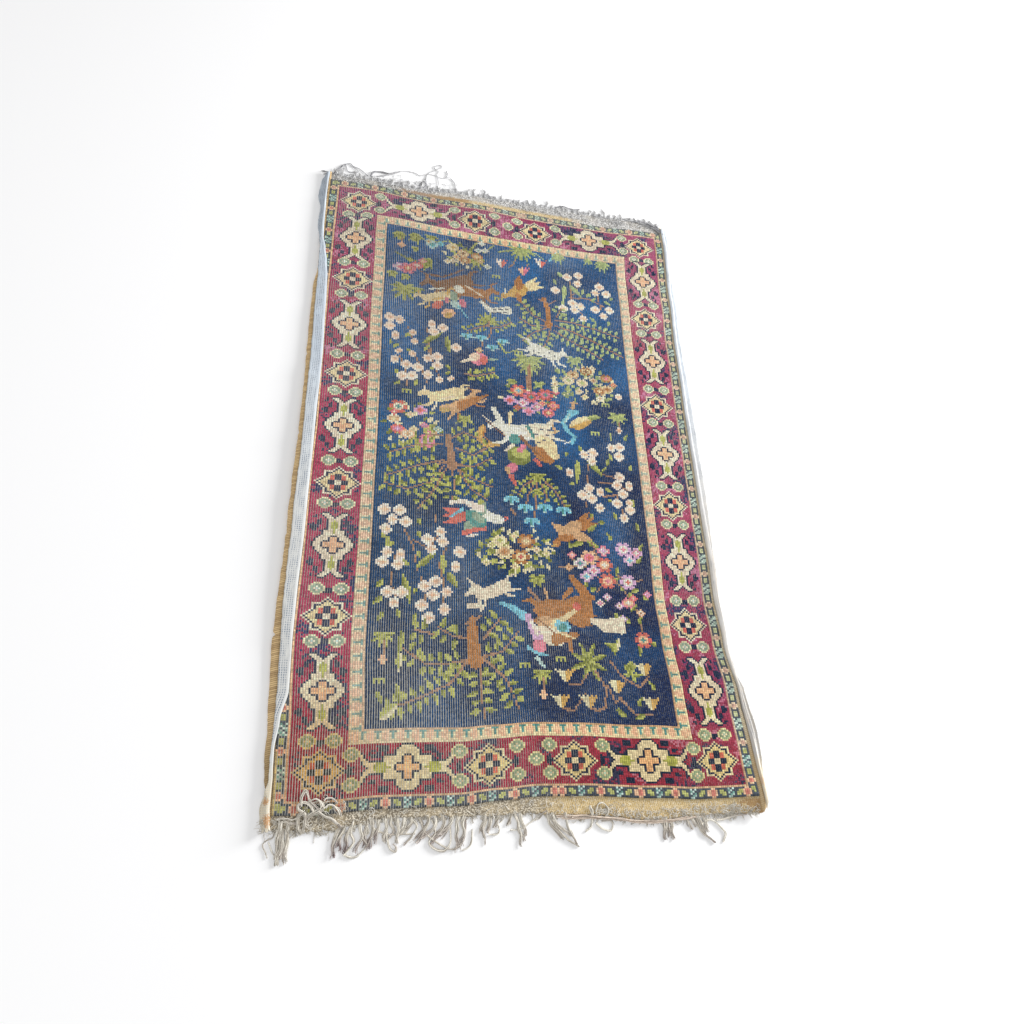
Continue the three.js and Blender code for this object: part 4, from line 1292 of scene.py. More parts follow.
pile_piece("pile_field", MIDDLE, field_map)
for name, band in (("pile_inner_guard", INNER), ("pile_main_border", MAIN),
                   ("pile_outer_guard", OUTER)):
    pile_piece(name, band, ring_map)

# %% [markdown]
# ## The back of the rug
# Turned over, a knotted rug shows the same design, flatter and crosswise ribbed, because each
# knot passes behind its two warps. The back is one sheet with a cell for each knot. It reaches
# out under the selvedges and the flat-woven ends, and closes the cloth from below.

# %% The knot backs
BACK_HEIGHT = 0.35
# The back is a little darker than the pile, and evenly worn.
BACK_FOUR = (0.9, 0.9, 0.9, 0)
BACK_WEAR = (0, 0, 0, 0.35)

back_u, back_v = np.meshgrid(np.arange(COLUMNS + 1.0), np.arange(ROWS + 1.0))
back_x, back_y = pulled(back_u * KNOT_ACROSS - HALF_WIDTH, back_v * KNOT_ALONG - HALF_LENGTH)
back_points = np.stack([back_x, back_y, lift(back_x, back_y) + BACK_HEIGHT], -1)
back_faces = grid_faces(*back_u.shape, flip=True)
u, v = back_u.ravel()[back_faces], back_v.ravel()[back_faces]
add_piece("knot_backs", back_points, back_faces, pile_finish("knot backs"),
          pulled_in(u, v), np.stack([u / COLUMNS, v / ROWS], -1),
          np.repeat((four_of_knot * BACK_FOUR + BACK_WEAR)[:, None], 4, 1))

# %% [markdown]
# ## The overcast selvedges
# Along each side the last warps are wrapped with wool, over and over, like a cord that lies
# beside the pile. In section it is a flat oval, and each wrap is one short ridge across it. So
# the surface is a tube whose radius goes up and down once for each wrap.

# %% Selvedges
WRAP = 2.7
WRAP_HEIGHT = 0.5
SELVEDGE_THICKNESS = 5.4
SECTION = 10
# Where the wrapping has worn thin: the place along the edge, half its length, how deep.
LEFT_GAPS = table("-334 2.6 3.4  -6 3 1.6  150 3 1.8  -180 4 1.2", 3)
RIGHT_GAPS = table("60 4 1.2  -240 4 1.4", 3)


def selvedge(name, side, edge_at, gaps, from_y, to_y, finish, seed):
    """An oval section, carried along the edge in steps of a third of a wrap."""
    y = np.arange(from_y, to_y, WRAP / 3)[:, None]
    turn = np.linspace(0, 2 * np.pi, SECTION, endpoint=False)[None, :]
    inner = side * HALF_WIDTH + (read_table(LEFT_PULL if side < 0 else RIGHT_PULL, y))
    at, long, deep = gaps.T
    thin = (deep * np.exp(-((y - at) / long) ** 2)).sum(1, keepdims=True)
    outer = edge_at(y) + side * (0.8 * clouds(y, 0 * y, 14, 1, seed + 2) - thin)
    half = np.abs(outer - inner) / 2 + 0.35
    middle = (outer + inner) / 2
    phase = y / WRAP + 0.4 * clouds(y, 0 * y, 30, 30, seed)
    ridge = WRAP_HEIGHT * np.abs(np.sin(np.pi * phase)) + 0.3 * clouds(y, turn, 4, 1, seed + 1)
    end = np.clip(np.minimum(y - from_y, to_y - y) / 5, 0.05, 1) ** 0.5
    x = middle + side * np.cos(turn) * (half - 0.4 + ridge) * end
    tall = SELVEDGE_THICKNESS / 2 - 0.5 + ridge
    z = lift(x, y) + np.maximum(SELVEDGE_THICKNESS / 2 + np.sin(turn) * tall * end, 0.1)
    skew = 1.6 * np.cos(turn) * side
    points = np.stack([x, y + skew, z], -1)
    faces = grid_faces(len(y), SECTION, around=True, flip=side < 0)
    u = seam(at_corners(np.arange(SECTION), points, faces), SECTION - 1, SECTION) / SECTION
    v = at_corners(phase, points, faces)
    bake = np.stack([u, (v - v.min()) / np.ptp(v)], -1)
    add_piece(name, points, faces, finish, np.stack([u, v], -1), bake)


def wrapped_finish(name, light, dark, groove_shade, foot_tint):
    """Wool wraps, each a little different and darker in stretches, with painted shade in the
    grooves between them.
    """
    finish = Finish(name, 0.95)
    _, wraps, cloth = finish.cloth()
    own = finish.node("ShaderNodeTexWhiteNoise", {"noise_dimensions": "1D"}, W=wraps - wraps % 1)
    slow = finish.noise(0.3, finish.scaled(cloth, (0, 1, 0)))
    fine = finish.noise(3.0, finish.scaled(cloth, (5, 2, 1)))
    groove = finish.smooth_step(peaks(wraps) + (fine - 0.5) * 0.4, 0.55, 0.95)
    share = Number(finish, own.outputs["Value"]) * 0.4 + slow
    # The groove tint is painted shade in the low grooves between the wraps.
    colour = finish.layered(
        paint(*light), (finish.smooth_step(share, 0.45, 1.0), dark), (fine * 0.35, (242, 228, 198)),
        (finish.smooth_step(wraps, -170, -190) * 0.6, foot_tint), (groove * 0.7, groove_shade))
    return finish.finish(colour, 1 - groove + fine * 0.4, strength=0.5)


selvedge("selvedge_left", -1, left_edge, LEFT_GAPS, -586, 590,
         wrapped_finish("gold overcast wool", (226, 192, 136), (176, 140, 90), (104, 78, 48),
                        (132, 114, 84)), 41)
selvedge("selvedge_right", 1, right_edge, RIGHT_GAPS, -588, 590,
         wrapped_finish("straw overcast wool", (228, 214, 184), (206, 186, 148), (160, 140, 108),
                        (184, 150, 100)), 43)

# %% [markdown]
# ## The flat-woven ends
# Past the last row of knots the weaver packs plain wefts, to lock the knots. This band is half
# as thick as the pile and ribbed across by the wefts. Its outer edge has ravelled, so it waves
# in and out from thread to thread.

# %% End bands
BAND_STEPS = 460, 14
BAND_THICKNESS = 2.6
RAVEL = 2.6
WEFT = 2.4


def end_band(name, heading, edge_at, finish, knotted, seed):
    """Runs from under the pile's last row to the ravelled edge, with a rib for each weft, and
    turns under at both long edges so that it is a closed sheet. Left of the place that knotted
    gives, a bead stands up where each warp was knotted."""
    share = np.linspace(0, 1, BAND_STEPS[0] + 1)[None, :]
    out = np.linspace(0, 1, BAND_STEPS[1] + 1)[:, None]
    square_x = HALF_WIDTH * (2 * share - 1) * 1.008
    foot_x, foot_y = pulled(square_x, heading * HALF_LENGTH + 0 * square_x)
    tip_y = edge_at(square_x) + heading * RAVEL * clouds(square_x, 0, 5, 1, seed)
    x = foot_x + 0 * out
    y = foot_y + (tip_y - foot_y) * out
    wefts = np.abs(y - foot_y) / WEFT
    rib = np.abs(np.sin(np.pi * wefts))
    beads = np.abs(np.sin(np.pi * (x / KNOT_ACROSS + 0.5 * np.floor(wefts)))) * rib
    beaded = rise(x, knotted, knotted - 80, 0.15)
    ripple = 0.22 * rib + 0.9 * beaded * beads + 0.45 * clouds(x, y, 7, 3, seed + 1)
    edge = np.sqrt(np.clip(1 - np.maximum(out - 0.86, 0) ** 2 / 0.14 ** 2, 0, 1))
    under = lift(x, y) + 0.3
    top = under + (BAND_THICKNESS - 0.3 + ripple) * edge

    def closed(upper, lower):
        return np.concatenate([upper, lower[::-1][1:]])

    points = closed(np.stack([x, y, top], -1), np.stack([x, y, under], -1))
    faces = grid_faces(*points.shape[:2], flip=heading < 0)
    uv = np.stack([at_corners(closed(a, a), points, faces) for a in (x / KNOT_ACROSS, wefts)], -1)
    bake = np.stack([(at_corners(points[..., 0], points, faces) + 380) / 760,
                     at_corners(closed(out, 2 - out), points, faces) / 2], -1)
    add_piece(name, points, faces, finish, uv, bake)


def flat_weave_finish(name, wool, wool_dark, dyed_at, blend, rolled_at, deep, gap, bead, patch):
    """Knotted cotton ends: beads, with painted shade in the gaps between them. Between two columns
    the wefts are dyed wool instead, as deep as the number deep says, ribbed across, with pale
    threads straying over them. Between two other columns the cloth has rolled over, and a brown
    strip is painted there."""
    finish = Finish(name, 0.95)
    across, wefts, cloth = finish.cloth()
    rough = finish.noise(0.8, cloth, 3.0)
    slow = finish.noise(0.06, cloth)
    shaken = across + (slow - 0.5) * 30 + (rough - 0.5) * 26
    dyed = finish.between(shaken, dyed_at[0], dyed_at[1] + blend, blend) \
        * (1 - finish.smooth_step(wefts + rough * 5, deep, deep + 3))
    cells = finish.node("ShaderNodeTexVoronoi", None, Vector=finish.scaled(cloth, (1.6, 1.3, 0)),
                        Scale=1.0).outputs["Distance"]
    beads = 1 - finish.smooth_step(Number(finish, cells) + (rough - 0.5) * 0.5, 0.3, 0.62)
    # The gap colour is painted shade in the low gaps between the beads.
    knots = finish.layered(paint(*gap), (beads, bead),
                           (finish.smooth_step(slow, 0.45, 0.65) * 0.4, patch))
    hatch = peaks(across * 1.1 + wefts * 0.3 + rough * 1.2)
    stray = finish.noise(1.5, finish.scaled(cloth, (1, 0.5, 1)))
    ribs = finish.layered(paint(*wool), (finish.smooth_step(hatch, 0.35, 0.9) * 0.75, wool_dark),
                          (finish.smooth_step(abs(stray - 0.5), 0.05, 0.0) * 0.8, (228, 220, 198)))
    # Where the cloth has rolled over, the colour is mixed towards brown.
    roll = finish.between(shaken, rolled_at[0], rolled_at[1] + 4, 4)
    roll = roll * finish.smooth_step(wefts + rough * 2, 1.5, 3.0) \
        * (1 - finish.smooth_step(wefts + rough * 4, deep, deep + 2))
    colour = finish.layered(finish.mix(dyed, knots, ribs), (roll * 0.7, (146, 110, 70)))
    return finish.finish(colour, hatch * 0.4 + beads * 0.6 + rough * 0.8, strength=0.6)


end_band("flat_weave_bottom", -1, bottom_edge,
         flat_weave_finish("flat weave, bottom", (206, 180, 128), (150, 124, 80), (-10, 200), 26,
                           (94, 200), 30, (132, 122, 106), (224, 214, 194), (208, 190, 156)),
         60, 51)
end_band("flat_weave_top", 1, top_edge,
         flat_weave_finish("flat weave, top", (202, 178, 128), (140, 112, 74), (-48, 34), 20,
                           (-62, -21), 6, (134, 132, 130), (222, 221, 218), (192, 184, 170)),
         -150, 53)

# %% [markdown]
# ## The side tapes
# Someone has sewn a plain cotton tape along each side to save the edges. The left one is folded
# over the pile in the middle and turns outward at both ends. The right one lies outward, clears
# the rug's edge and falls to the floor, puckered where it has worked loose. Each is a long grid
# with a top and an underside.

# %% Where the tapes run
TAPE_THICKNESS, PIECE_GAP = 1.2, 0.3
TAPE_CLEARS_EDGE, TAPE_FALL = 1.5, 5.0
# How much of the right selvedge shows beside the tape.
RIGHT_SHOWS = table("-590 6  -430 6  -370 2.5  590 2.5")
LEFT_OUTER = table("""
    -586 -356  -573 -360.5  -558 -361.5  -542 -357.5  -526 -354  -507 -354.5  -489 -354.5
    -452 -353.6  -412 -354  -343 -356  -285 -357.4  -160 -355.6  0 -352.6  155 -352.3  264 -353
    320 -353.5  358 -354  386 -354.4  417 -357.5  449 -361.5  492 -361  518 -366  558 -363.5
    584 -357""")
LEFT_INNER = table("""
    -586 -346  -573 -348  -558 -349  -526 -349  -507 -350  -489 -350.5  -452 -346.6  -412 -338.8
    -343 -340  -285 -339.5  -160 -336.5  0 -335  155 -333  264 -335  320 -336.5  358 -340
    386 -344  417 -349.5  449 -350.5  492 -350.5  518 -351  558 -350  584 -348.5""")
RIGHT_OUTER = table("""
    -584 354  -573 360  -559 363.5  -531 366.5  -502 368.7  -472 368  -411 359.6  -379 350
    -330 342.5  -262 343  -190 347  -34 353  139 355.5  283 355  386 360  468 361  561 367.5
    584 366""")
PUCKER_HEIGHT, PUCKER_FOLDS, PUCKER_FROM, PUCKER_TO = 1.6, 2.5, -380, -560
TAPE_STEPS = 18, 420


# %% Tapes
def tape(name, side, from_y, to_y, outer_at, inner_at, edge_at, finish, seed, pucker=0.0):
    """The underside lies close over the pile, then clears the edge and falls to the floor.
    Small waves run along the free edge, and the top is the cloth's thickness above it."""
    share = np.linspace(0, 1, TAPE_STEPS[0] + 1)[None, :]
    y = np.linspace(from_y, to_y, TAPE_STEPS[1] + 1)[:, None]
    inner, outer = inner_at(y), outer_at(y)
    fray = 0.5 * clouds(y, 0 * y, 3, 1, seed + 2) + 0.5 * clouds(y, 0 * y, 11, 1, seed + 3)
    x = inner + (outer + side * fray - inner) * share
    beyond = (x - edge_at(y)) * side
    on_pile = PILE_THICKNESS + PIECE_GAP
    fallen = smooth((beyond - TAPE_CLEARS_EDGE) / TAPE_FALL)
    rest = np.where(beyond > 0, (lift(edge_at(y), y) + on_pile) * (1 - fallen),
                    lift(x, y) + on_pile)
    along = rise(y, PUCKER_FROM, PUCKER_TO)
    folds = PUCKER_HEIGHT * pucker * np.sin(np.pi * along) * smooth(share * 3) \
        * np.sin(PUCKER_FOLDS * np.pi * share) ** 2
    waves = 0.5 * (1 + clouds(x * 0.6, y, 8, 26, seed)) * smooth(share * 4)
    rest = rest + folds + waves
    cloth = TAPE_THICKNESS * (0.8 + 0.2 * smooth(np.minimum(share, 1 - share) * 8))
    near_end = np.minimum(y - from_y, to_y - y)
    ragged = 5 * clouds(share * 30, 0 * y, 3, 1, seed + 4) * (1 - smooth(near_end / 16))

    def closed(top, under):
        return np.concatenate([top, under[:, ::-1]], 1)

    points = closed(np.stack([x, y + ragged, rest + cloth], -1),
                    np.stack([x, y + ragged, rest], -1))
    faces = grid_faces(*points.shape[:2], around=True, flip=side < 0)
    from_inner, v = np.abs(outer - inner) * share, at_corners(y, points, faces)
    uv = np.stack([at_corners(closed(from_inner, from_inner), points, faces), v], -1)
    turned_over = seam(at_corners(closed(share, 2 - share), points, faces), 1.5, 2)
    bake = np.stack([turned_over / 2, (v - from_y) / (to_y - from_y)], -1)
    add_piece(name, points, faces, finish, uv, bake)


def tape_finish(name, stripe, dotted, strong, near_tint, far_tint, crease_shade, stained, stains):
    """Bleached cotton: small grey dots in columns where the weave is open, a plain bright
    stripe, thin grey lines of painted shade along creases, a bluer tint far up the rug, and rust
    stains."""
    finish = Finish(name, 0.9)
    across, along, cloth = finish.cloth()
    threads = finish.noise(1.0, finish.scaled(cloth, (1.6, 0.9, 1)))
    patch = finish.noise(0.09, finish.scaled(cloth, (1, 0.5, 1)), 3.0)
    crease = finish.noise(0.5, finish.scaled(cloth, (1, 0.03, 1)))
    mottle = finish.noise(0.5, cloth, 3.0)
    column = finish.smooth_step(peaks(across * 0.33 + patch * 0.6), 0.3, 0.7)
    dash = finish.smooth_step(peaks(along * 0.3 + threads * 1.4), 0.25, 0.65)
    dots = finish.between(across, *dotted, 0.8) * column * dash
    ribbed = 0.4 + peaks(along * 0.45) * 0.35
    colour = finish.layered(
        finish.mix(finish.smooth_step(along, -250, 250), paint(*near_tint), paint(*far_tint)),
        (finish.smooth_step(patch, 0.4, 0.7) * 0.4, (196, 198, 200)),
        (threads * 0.3, (176, 180, 184)),
        # Painted shade: thin grey lines stand for the shade in the creases of the cloth.
        (finish.smooth_step(abs(crease - 0.5), 0.03, 0.0) * crease_shade, (144, 148, 154)),
        (dots * finish.smooth_step(patch, 0.3, 0.6) * strong, (104, 118, 136)),
        (finish.smooth_step(along, -500, -540) * ribbed, (222, 206, 172)),
        (finish.between(across, *stripe, 0.5) * 0.25, (230, 234, 238)))
    for stain_across, stain_along, reach in stains:
        aside, ahead = across - stain_across, (along - stain_along) * 0.8
        off = (aside * aside + ahead * ahead) * (1 / reach ** 2) + (mottle - 0.5) * 5.0
        share = (1 - finish.smooth_step(off, 0.2, 1.2)) * stained
        colour = finish.layered(colour, (share, (184, 132, 80)))
    return finish.finish(colour, threads * 0.6 + (1 - dots) * 0.5, strength=0.4)


def right_inner(y):
    return HALF_WIDTH + read_table(RIGHT_PULL, y) + read_table(RIGHT_SHOWS, y)


# Each stain: across the tape, along the rug, its reach.
tape("tape_left", -1, -586, 584, partial(read_table, LEFT_OUTER), partial(read_table, LEFT_INNER),
     left_edge, tape_finish("white cotton tape, left", (0.6, 2.0), (2.4, 16.5), 1.0,
                            (206, 206, 202), (188, 199, 210), 0.45, 0.8,
                            ((6, -552, 4), (3, -574, 6))), 61)
tape("tape_right", 1, -584, 584, partial(read_table, RIGHT_OUTER), right_inner,
     right_edge, tape_finish("white cotton tape, right", (5.0, 7.0), (8.0, 18.0), 0.4,
                             (196, 188, 176), (196, 203, 210), 0.8, 0.4,
                             ((6, -427, 2), (5, -458, 2), (4, -545, 6), (10, -575, 6))), 63,
     pucker=1.0)

# %% [markdown]
# ## Loose threads
# The fringes are the warps themselves, cut long and knotted into locks. A thread is a line of
# points with a thickness, so a whole fringe is one array: threads by points by three numbers.
# Each lock twists its threads about its own middle, and they splay and wave towards the tip.

# %% Threads as tubes
def unit(vectors):
    return vectors / np.maximum(np.linalg.norm(vectors, axis=-1, keepdims=True), 1e-6)


def tubes(centres, thick, sides):
    """A ring of points round every place on every line, square to the line's direction."""
    ahead = unit(np.gradient(centres, axis=1))
    beside = unit(np.cross(ahead, (0.02, 0.03, 1.0)))
    upward = np.cross(beside, ahead)
    turn = np.arange(sides) * 2 * np.pi / sides
    ring = (beside[:, :, None] * np.cos(turn)[:, None] + upward[:, :, None] * np.sin(turn)[:, None])
    points = centres[:, :, None] + ring * thick[:, :, None, None]
    many, long = centres.shape[:2]
    walls = grid_faces(long, sides, around=True)
    low = np.array([[0, 1, 2, 3], [0, 3, 4, 5]][:sides // 2 - 1])
    high = (long - 1) * sides + low[:, ::-1]
    one = np.concatenate([walls, low, high])
    faces = (np.arange(many) * long * sides)[:, None, None] + one
    return points.reshape(-1, 3), faces.reshape(-1, 4)


def thread_piece(name, groups, sides, finish):
    """Joins groups of threads of different lengths into one piece. The map runs round and along
    each thread, and in the baked picture every thread has its own narrow strip."""
    made = []
    total, first, done = sum(len(centres) for centres, _, _ in groups), 0, 0
    for centres, thick, colour in groups:
        points, faces = tubes(centres, thick, sides)
        many, long = centres.shape[:2]
        number, station, around = faces // (long * sides), faces % (long * sides) // sides, \
            faces % sides
        wall = np.ptp(station, axis=1)[:, None] > 0
        around = np.where(wall, seam(around, sides - 1, sides), around) / sides
        place = number + done
        made.append((points, faces + first, np.stack([place + around, station * 1.0], -1),
                     np.stack([(place + 0.1 + 0.8 * around) / total, station / (long - 1)], -1),
                     np.concatenate([colour[number, station], np.ones((*number.shape, 1))], -1)))
        first, done = first + len(points), done + many
    points, faces, uv, bake, four = (np.concatenate(column) for column in zip(*made))
    add_piece(name, points, faces, finish, uv, bake, four)


def ground(x, y):
    """The height of what lies under a thread: the floor, the flat weave or the pile."""
    past = np.maximum(bottom_edge(x) - y, y - top_edge(x))
    inside = np.minimum(y + HALF_LENGTH - read_table(BOTTOM_PULL, x),
                        HALF_LENGTH + read_table(TOP_PULL, x) - y)
    woven, knotted = rise(past, 1, -1.5), rise(inside, -2, 2)
    return lift(x, y) + woven * (BAND_THICKNESS + 0.7) + knotted * (PILE_THICKNESS - 3.0)


def locks_of_threads(locks, heading, edge_at, threads, places, thick, seed):
    """Each row of locks is a root, a length, a lean at the tip, a bow on the way and a width.
    A lock waves from side to side as one, and its threads wander round it."""
    dots = np.random.default_rng(seed)
    locks = np.array(locks, float)
    sway = [dots.uniform(*span, len(locks)) for span in ((0, 2 * np.pi), (16, 30), (0.6, 2.4))]
    root, length, lean, bow, wide, sway_at, sway_long, sway_wide = (
        np.repeat(column, threads)[:, None] for column in (*locks.T, *sway))
    many = len(root)
    share = np.linspace(0, 1, places)[None, :]
    long = length * dots.uniform(0.7, 1.03, (many, 1))
    turn = dots.uniform(0, 2 * np.pi, (many, 1)) + share * dots.uniform(1.5, 4.5, (many, 1))
    splay = dots.normal(0, 1, (many, 1)) * share ** 2
    number = np.arange(many)[:, None] * 7.3
    bundle = wide * (1 - 0.42 * share) * dots.uniform(0.35, 1, (many, 1)) ** 0.5
    swing = np.sin(2 * np.pi * long * share / sway_long + sway_at)
    swing = sway_wide * rise(share, 0, 0.5) * swing
    x = (root + lean * share ** 1.5 + bow * np.sin(np.pi * share) + swing
         + bundle * np.cos(turn) + 1.5 * splay
         + 1.3 * share * clouds(long * share, number, 6, 1, seed + 1))
    foot = edge_at(root + wide * np.cos(turn))
    y = foot + heading * (-3.5 + (long + 3.5) * share)
    thick = thick * (1 - 0.35 * share) * dots.uniform(0.75, 1.2, (many, 1))
    climb = np.exp(-((share * long) / 5) ** 2)
    z = (lift(x, y) + thick + 0.1 + bundle * 0.62 * (1 + np.sin(turn)) * (1 - 0.6 * climb)
         + 0.5 * climb + 0.25 * share * (1 + clouds(long * share, number, 8, 1, seed + 2)))
    return np.stack([x, y, z], -1), thick


def curve(path, places):
    """A smooth line through the places of a path, by Catmull and Rom's cubic."""
    at = np.linspace(0, len(path) - 1, places)
    before = np.clip(np.floor(at).astype(int), 0, len(path) - 2)
    t = (at - before)[:, None]
    ends = 2 * path[[0, -1]] - path[[1, -2]]
    path = np.concatenate([ends[:1], path, ends[1:]])
    a, b, c, d = (path[before + step] for step in range(4))
    return b + 0.5 * t * (c - a + t * (2 * a - 5 * b + 4 * c - d + t * (3 * b - a - 3 * c + d)))


def strands(rows, places, thick, seed):
    """Rows are parted by semicolons. Each has a number of strands, how far apart they lie, and
    the places on their way."""
    made = []
    share = np.linspace(0, 1, places)[None, :]
    for number, row in enumerate(rows.split(";")):
        dots = np.random.default_rng(seed + number)
        count, apart = table(row)[0]
        count = int(count)
        own = np.arange(count)[:, None] * 7.3
        wander = [clouds(share * 30, own, size, 1, seed + own_seed)
                  for size, own_seed in ((6, number), (5, 1))]
        aside = apart * dots.normal(0, 0.7, (count, 1, 2)) + apart * np.stack(wander, -1)
        x, y = np.moveaxis(curve(table(row)[1:], places)[None] + aside, -1, 0)
        radius = thick * dots.uniform(0.8, 1.15, (count, 1)) * (1 - 0.3 * share ** 3)
        pile = np.linspace(0, 1, count)[:, None] * min(count - 1, 3) * 0.5 * thick
        z = ground(x, y) + radius + 0.1 + pile + 0.3 * (1 + clouds(share * 20, own, 4, 1, seed + 2))
        made.append((np.stack([x, y, z], -1), radius))
    return made


def tangle(rows, places, edge_at, heading, thick, seed):
    """Curly ends. Each row is how many, from where to where along the edge, from how far to how
    far inside it, the size of a curl and how far it drifts."""
    dots = np.random.default_rng(seed)
    low_x, high_x, low_y, high_y, size, drift = (
        np.repeat(column, rows[:, 0].astype(int))[:, None] for column in rows[:, 1:].T)
    many = len(low_x)
    share = np.linspace(0, 1, places)[None, :]
    start_x, start_y = (low + (high - low) * dots.uniform(0, 1, (many, 1))
                        for low, high in ((low_x, high_x), (low_y, high_y)))
    turn = dots.uniform(0, 2 * np.pi, (many, 1)) + share * dots.normal(0, 5, (many, 1))
    curl = size * dots.uniform(0.4, 1.2, (many, 1))
    x = start_x + drift * dots.normal(0, 1, (many, 1)) * share + curl * np.cos(turn)
    y = (edge_at(start_x) - heading * start_y + 0.8 * drift * dots.normal(0, 1, (many, 1)) * share
         + curl * np.sin(turn))
    radius = thick * (1 - 0.4 * share) + 0 * x
    arch = 1.2 * np.sin(np.pi * share) * dots.uniform(0, 1, (many, 1))
    return np.stack([x, y, ground(x, y) + radius + 0.1 + arch], -1), radius


def coloured(group, light, dark, tip, tip_share, seed):
    """Adds a colour for each place of each thread: each thread has its own shade, with dirty
    tips on the locks that the table says."""
    count, places = group[1].shape
    dots = np.random.default_rng(seed)
    shade = dots.uniform(0, 1, (count, 1, 1)) ** 1.5
    along = np.linspace(0, 1, places)[None, :, None]
    colour = linear(light) * (1 - shade) + linear(dark) * shade + 0 * along
    dirty = rise(along, 0.45, 0.95) * np.reshape(tip_share, (-1, 1, 1))
    patch = 1 + 0.14 * dots.uniform(-1, 1, (count, places, 1))
    return *group, (colour * (1 - dirty) + linear(tip) * dirty) * patch


# %% [markdown]
# The bottom fringe hangs in clumps, because the knots that held the warps have let go in
# places. Some locks have sagged into loops and join at their tips, and at the left corner a few
# thick ones are folded back over the rug. Those are drawn as lines through a few places.

# %% The bottom fringe
# From, to, locks, length, lean, bow, how dirty the tips are.
BOTTOM_LOCKS = table("""
    -338 -327 3 38 1 1 0.2  -262 -246 3 34 -6 -3 0.9  -236 -214 4 36 -2 2 0.7
    -205 -189 3 30 1 2 0.2  -178 -170 2 22 -8 2 0.1  -150 -118 4 32 -14 6 0.5
    -106 -98 2 44 -2 -2 0.5  -70 -62 2 26 -4 0 0.3  -50 -34 2 16 -5 0 0.2  -28 -22 2 40 8 2 0.3
    18 26 2 34 22 -3 0.2  191 203 3 28 0 0 0.4  229 236 2 18 4 0 0.3  244 250 2 28 12 2 0.2""", 7)
BOTTOM_STRANDS = """
7 1.5 -307 -566 -313 -570 -314 -579 -311 -588 -306 -589 -305 -573 -308 -567 -315 -562 -314 -557
-306 -555 -298 -560 -294 -568; 5 1.1 -312 -559 -312 -549 -308 -541 -304 -546 -301 -553
-286 -567; 5 1.4 -304 -556 -294 -551 -286 -555 -285 -563 -300 -570 -305 -576 -300 -584
-295 -581; 3 0.8 -283 -553 -279 -550 -272 -551 -266 -557; 4 1 -281 -562 -276 -558 -269 -561
-263 -566 -261 -572; 5 1.3 -290 -567 -282 -572 -272 -576 -265 -582 -260 -585; 5 1.2 -340 -574
-333 -573 -325 -575 -317 -574 -312 -568; 4 1.2 -336 -578 -329 -576 -321 -579 -313 -579; 10 1.6
-335 -575 -334 -589 -331 -601 -332 -608 -335 -616 -335 -625; 9 1.5 -325 -579 -324 -592 -327 -602
-330 -607 -327 -613 -333 -617; 1 0.2 -341 -587 -343 -594 -350 -597 -354 -602 -350 -610
-347 -617; 1 0.2 -347 -599 -342 -610 -338 -615; 4 1 -245 -578 -247 -592 -243 -603 -249 -612
-255 -618; 4 1 -230 -580 -225 -592 -232 -598 -226 -607 -229 -612; 3 0.8 -255 -618 -247 -621
-237 -620 -229 -612; 3 0.7 -203 -580 -201 -599 -197 -613 -190 -617 -189 -612 -193 -608; 2 0.5
-218 -589 -201 -596 -182 -597 -164 -597; 4 1 -170 -577 -161 -587 -165 -596 -171 -604 -178 -609;
3 0.9 -143 -580 -138 -597 -147 -607 -141 -615 -128 -619 -118 -610 -118 -593 -119 -581; 3 0.9
-158 -579 -151 -596 -139 -607 -117 -618 -103 -612 -98 -600 -97 -580; 2 0.6 -88 -595 -90 -611
-96 -618 -102 -619; 3 0.7 -66 -583 -72 -596 -71 -605 -70 -614; 2 0.6 -60 -576 -51 -594 -53 -602
-65 -602; 2 0.5 -35 -598 -21 -597 -4 -588 6 -582 17 -575; 5 1 21 -580 32 -599 47 -614 61 -622;
5 1 43 -580 48 -598 54 -610 59 -620; 5 0.9 80 -572 84 -586 80 -599 73 -603; 2 0.5 88 -594
98 -602 109 -605 113 -598 110 -592 97 -592; 3 0.6 88 -579 92 -570 100 -568 107 -576 103 -585
93 -589 89 -581; 5 1 243 -592 245 -604 250 -612 259 -620 268 -627; 3 0.8 250 -603 263 -597
274 -601 284 -611 286 -618 281 -627; 4 0.9 275 -597 287 -596 304 -593 323 -591
"""
# How many, from, to, from and to how far inside the edge, curl, drift.
BOTTOM_CURLS = table("""
    46 -318 -250 0 34 4.5 9  34 -358 -336 -6 12 2 4  70 -344 -100 -3 11 2.4 5
    50 -100 60 -3 14 2.6 6  10 48 104 8 26 2.2 4  330 90 318 -3 12 2.2 4  70 300 345 -3 8 1.8 3
    40 100 318 8 20 2 4""", 7)
LOCK_WIDTH = 2.2
BOTTOM_THREADS, BOTTOM_PLACES = 12, 13
GREIGE, GREY_BROWN, TIP_BROWN = (225, 220, 208), (162, 153, 140), (120, 98, 100)

bottom_locks, bottom_tips = [], []
for first_x, last_x, count, long, lean, bow, dirt in BOTTOM_LOCKS:
    for number, root_x in enumerate(np.linspace(first_x, last_x, int(count))):
        bottom_locks.append((root_x, long * (1 - 0.16 * (number % 2)), lean, bow, LOCK_WIDTH))
        bottom_tips.append(dirt)
hanging = locks_of_threads(bottom_locks, -1, bottom_edge, BOTTOM_THREADS, BOTTOM_PLACES, 0.74, 71)

# A ragged hem: short thread ends all along, where the knots are gone.
dots = np.random.default_rng(73)
stubs = [(x, 3 + 8 * dots.random() ** 2, 5 * dots.normal(), 0, 1.0)
         for x in np.sort(dots.uniform(-343, 345, 220))]
hem = locks_of_threads(stubs, -1, bottom_edge, 3, 6, 0.5, 74)
drawn = strands(BOTTOM_STRANDS, 26, 0.76, 75)
curls = tangle(BOTTOM_CURLS, 12, bottom_edge, -1, 0.42, 78)

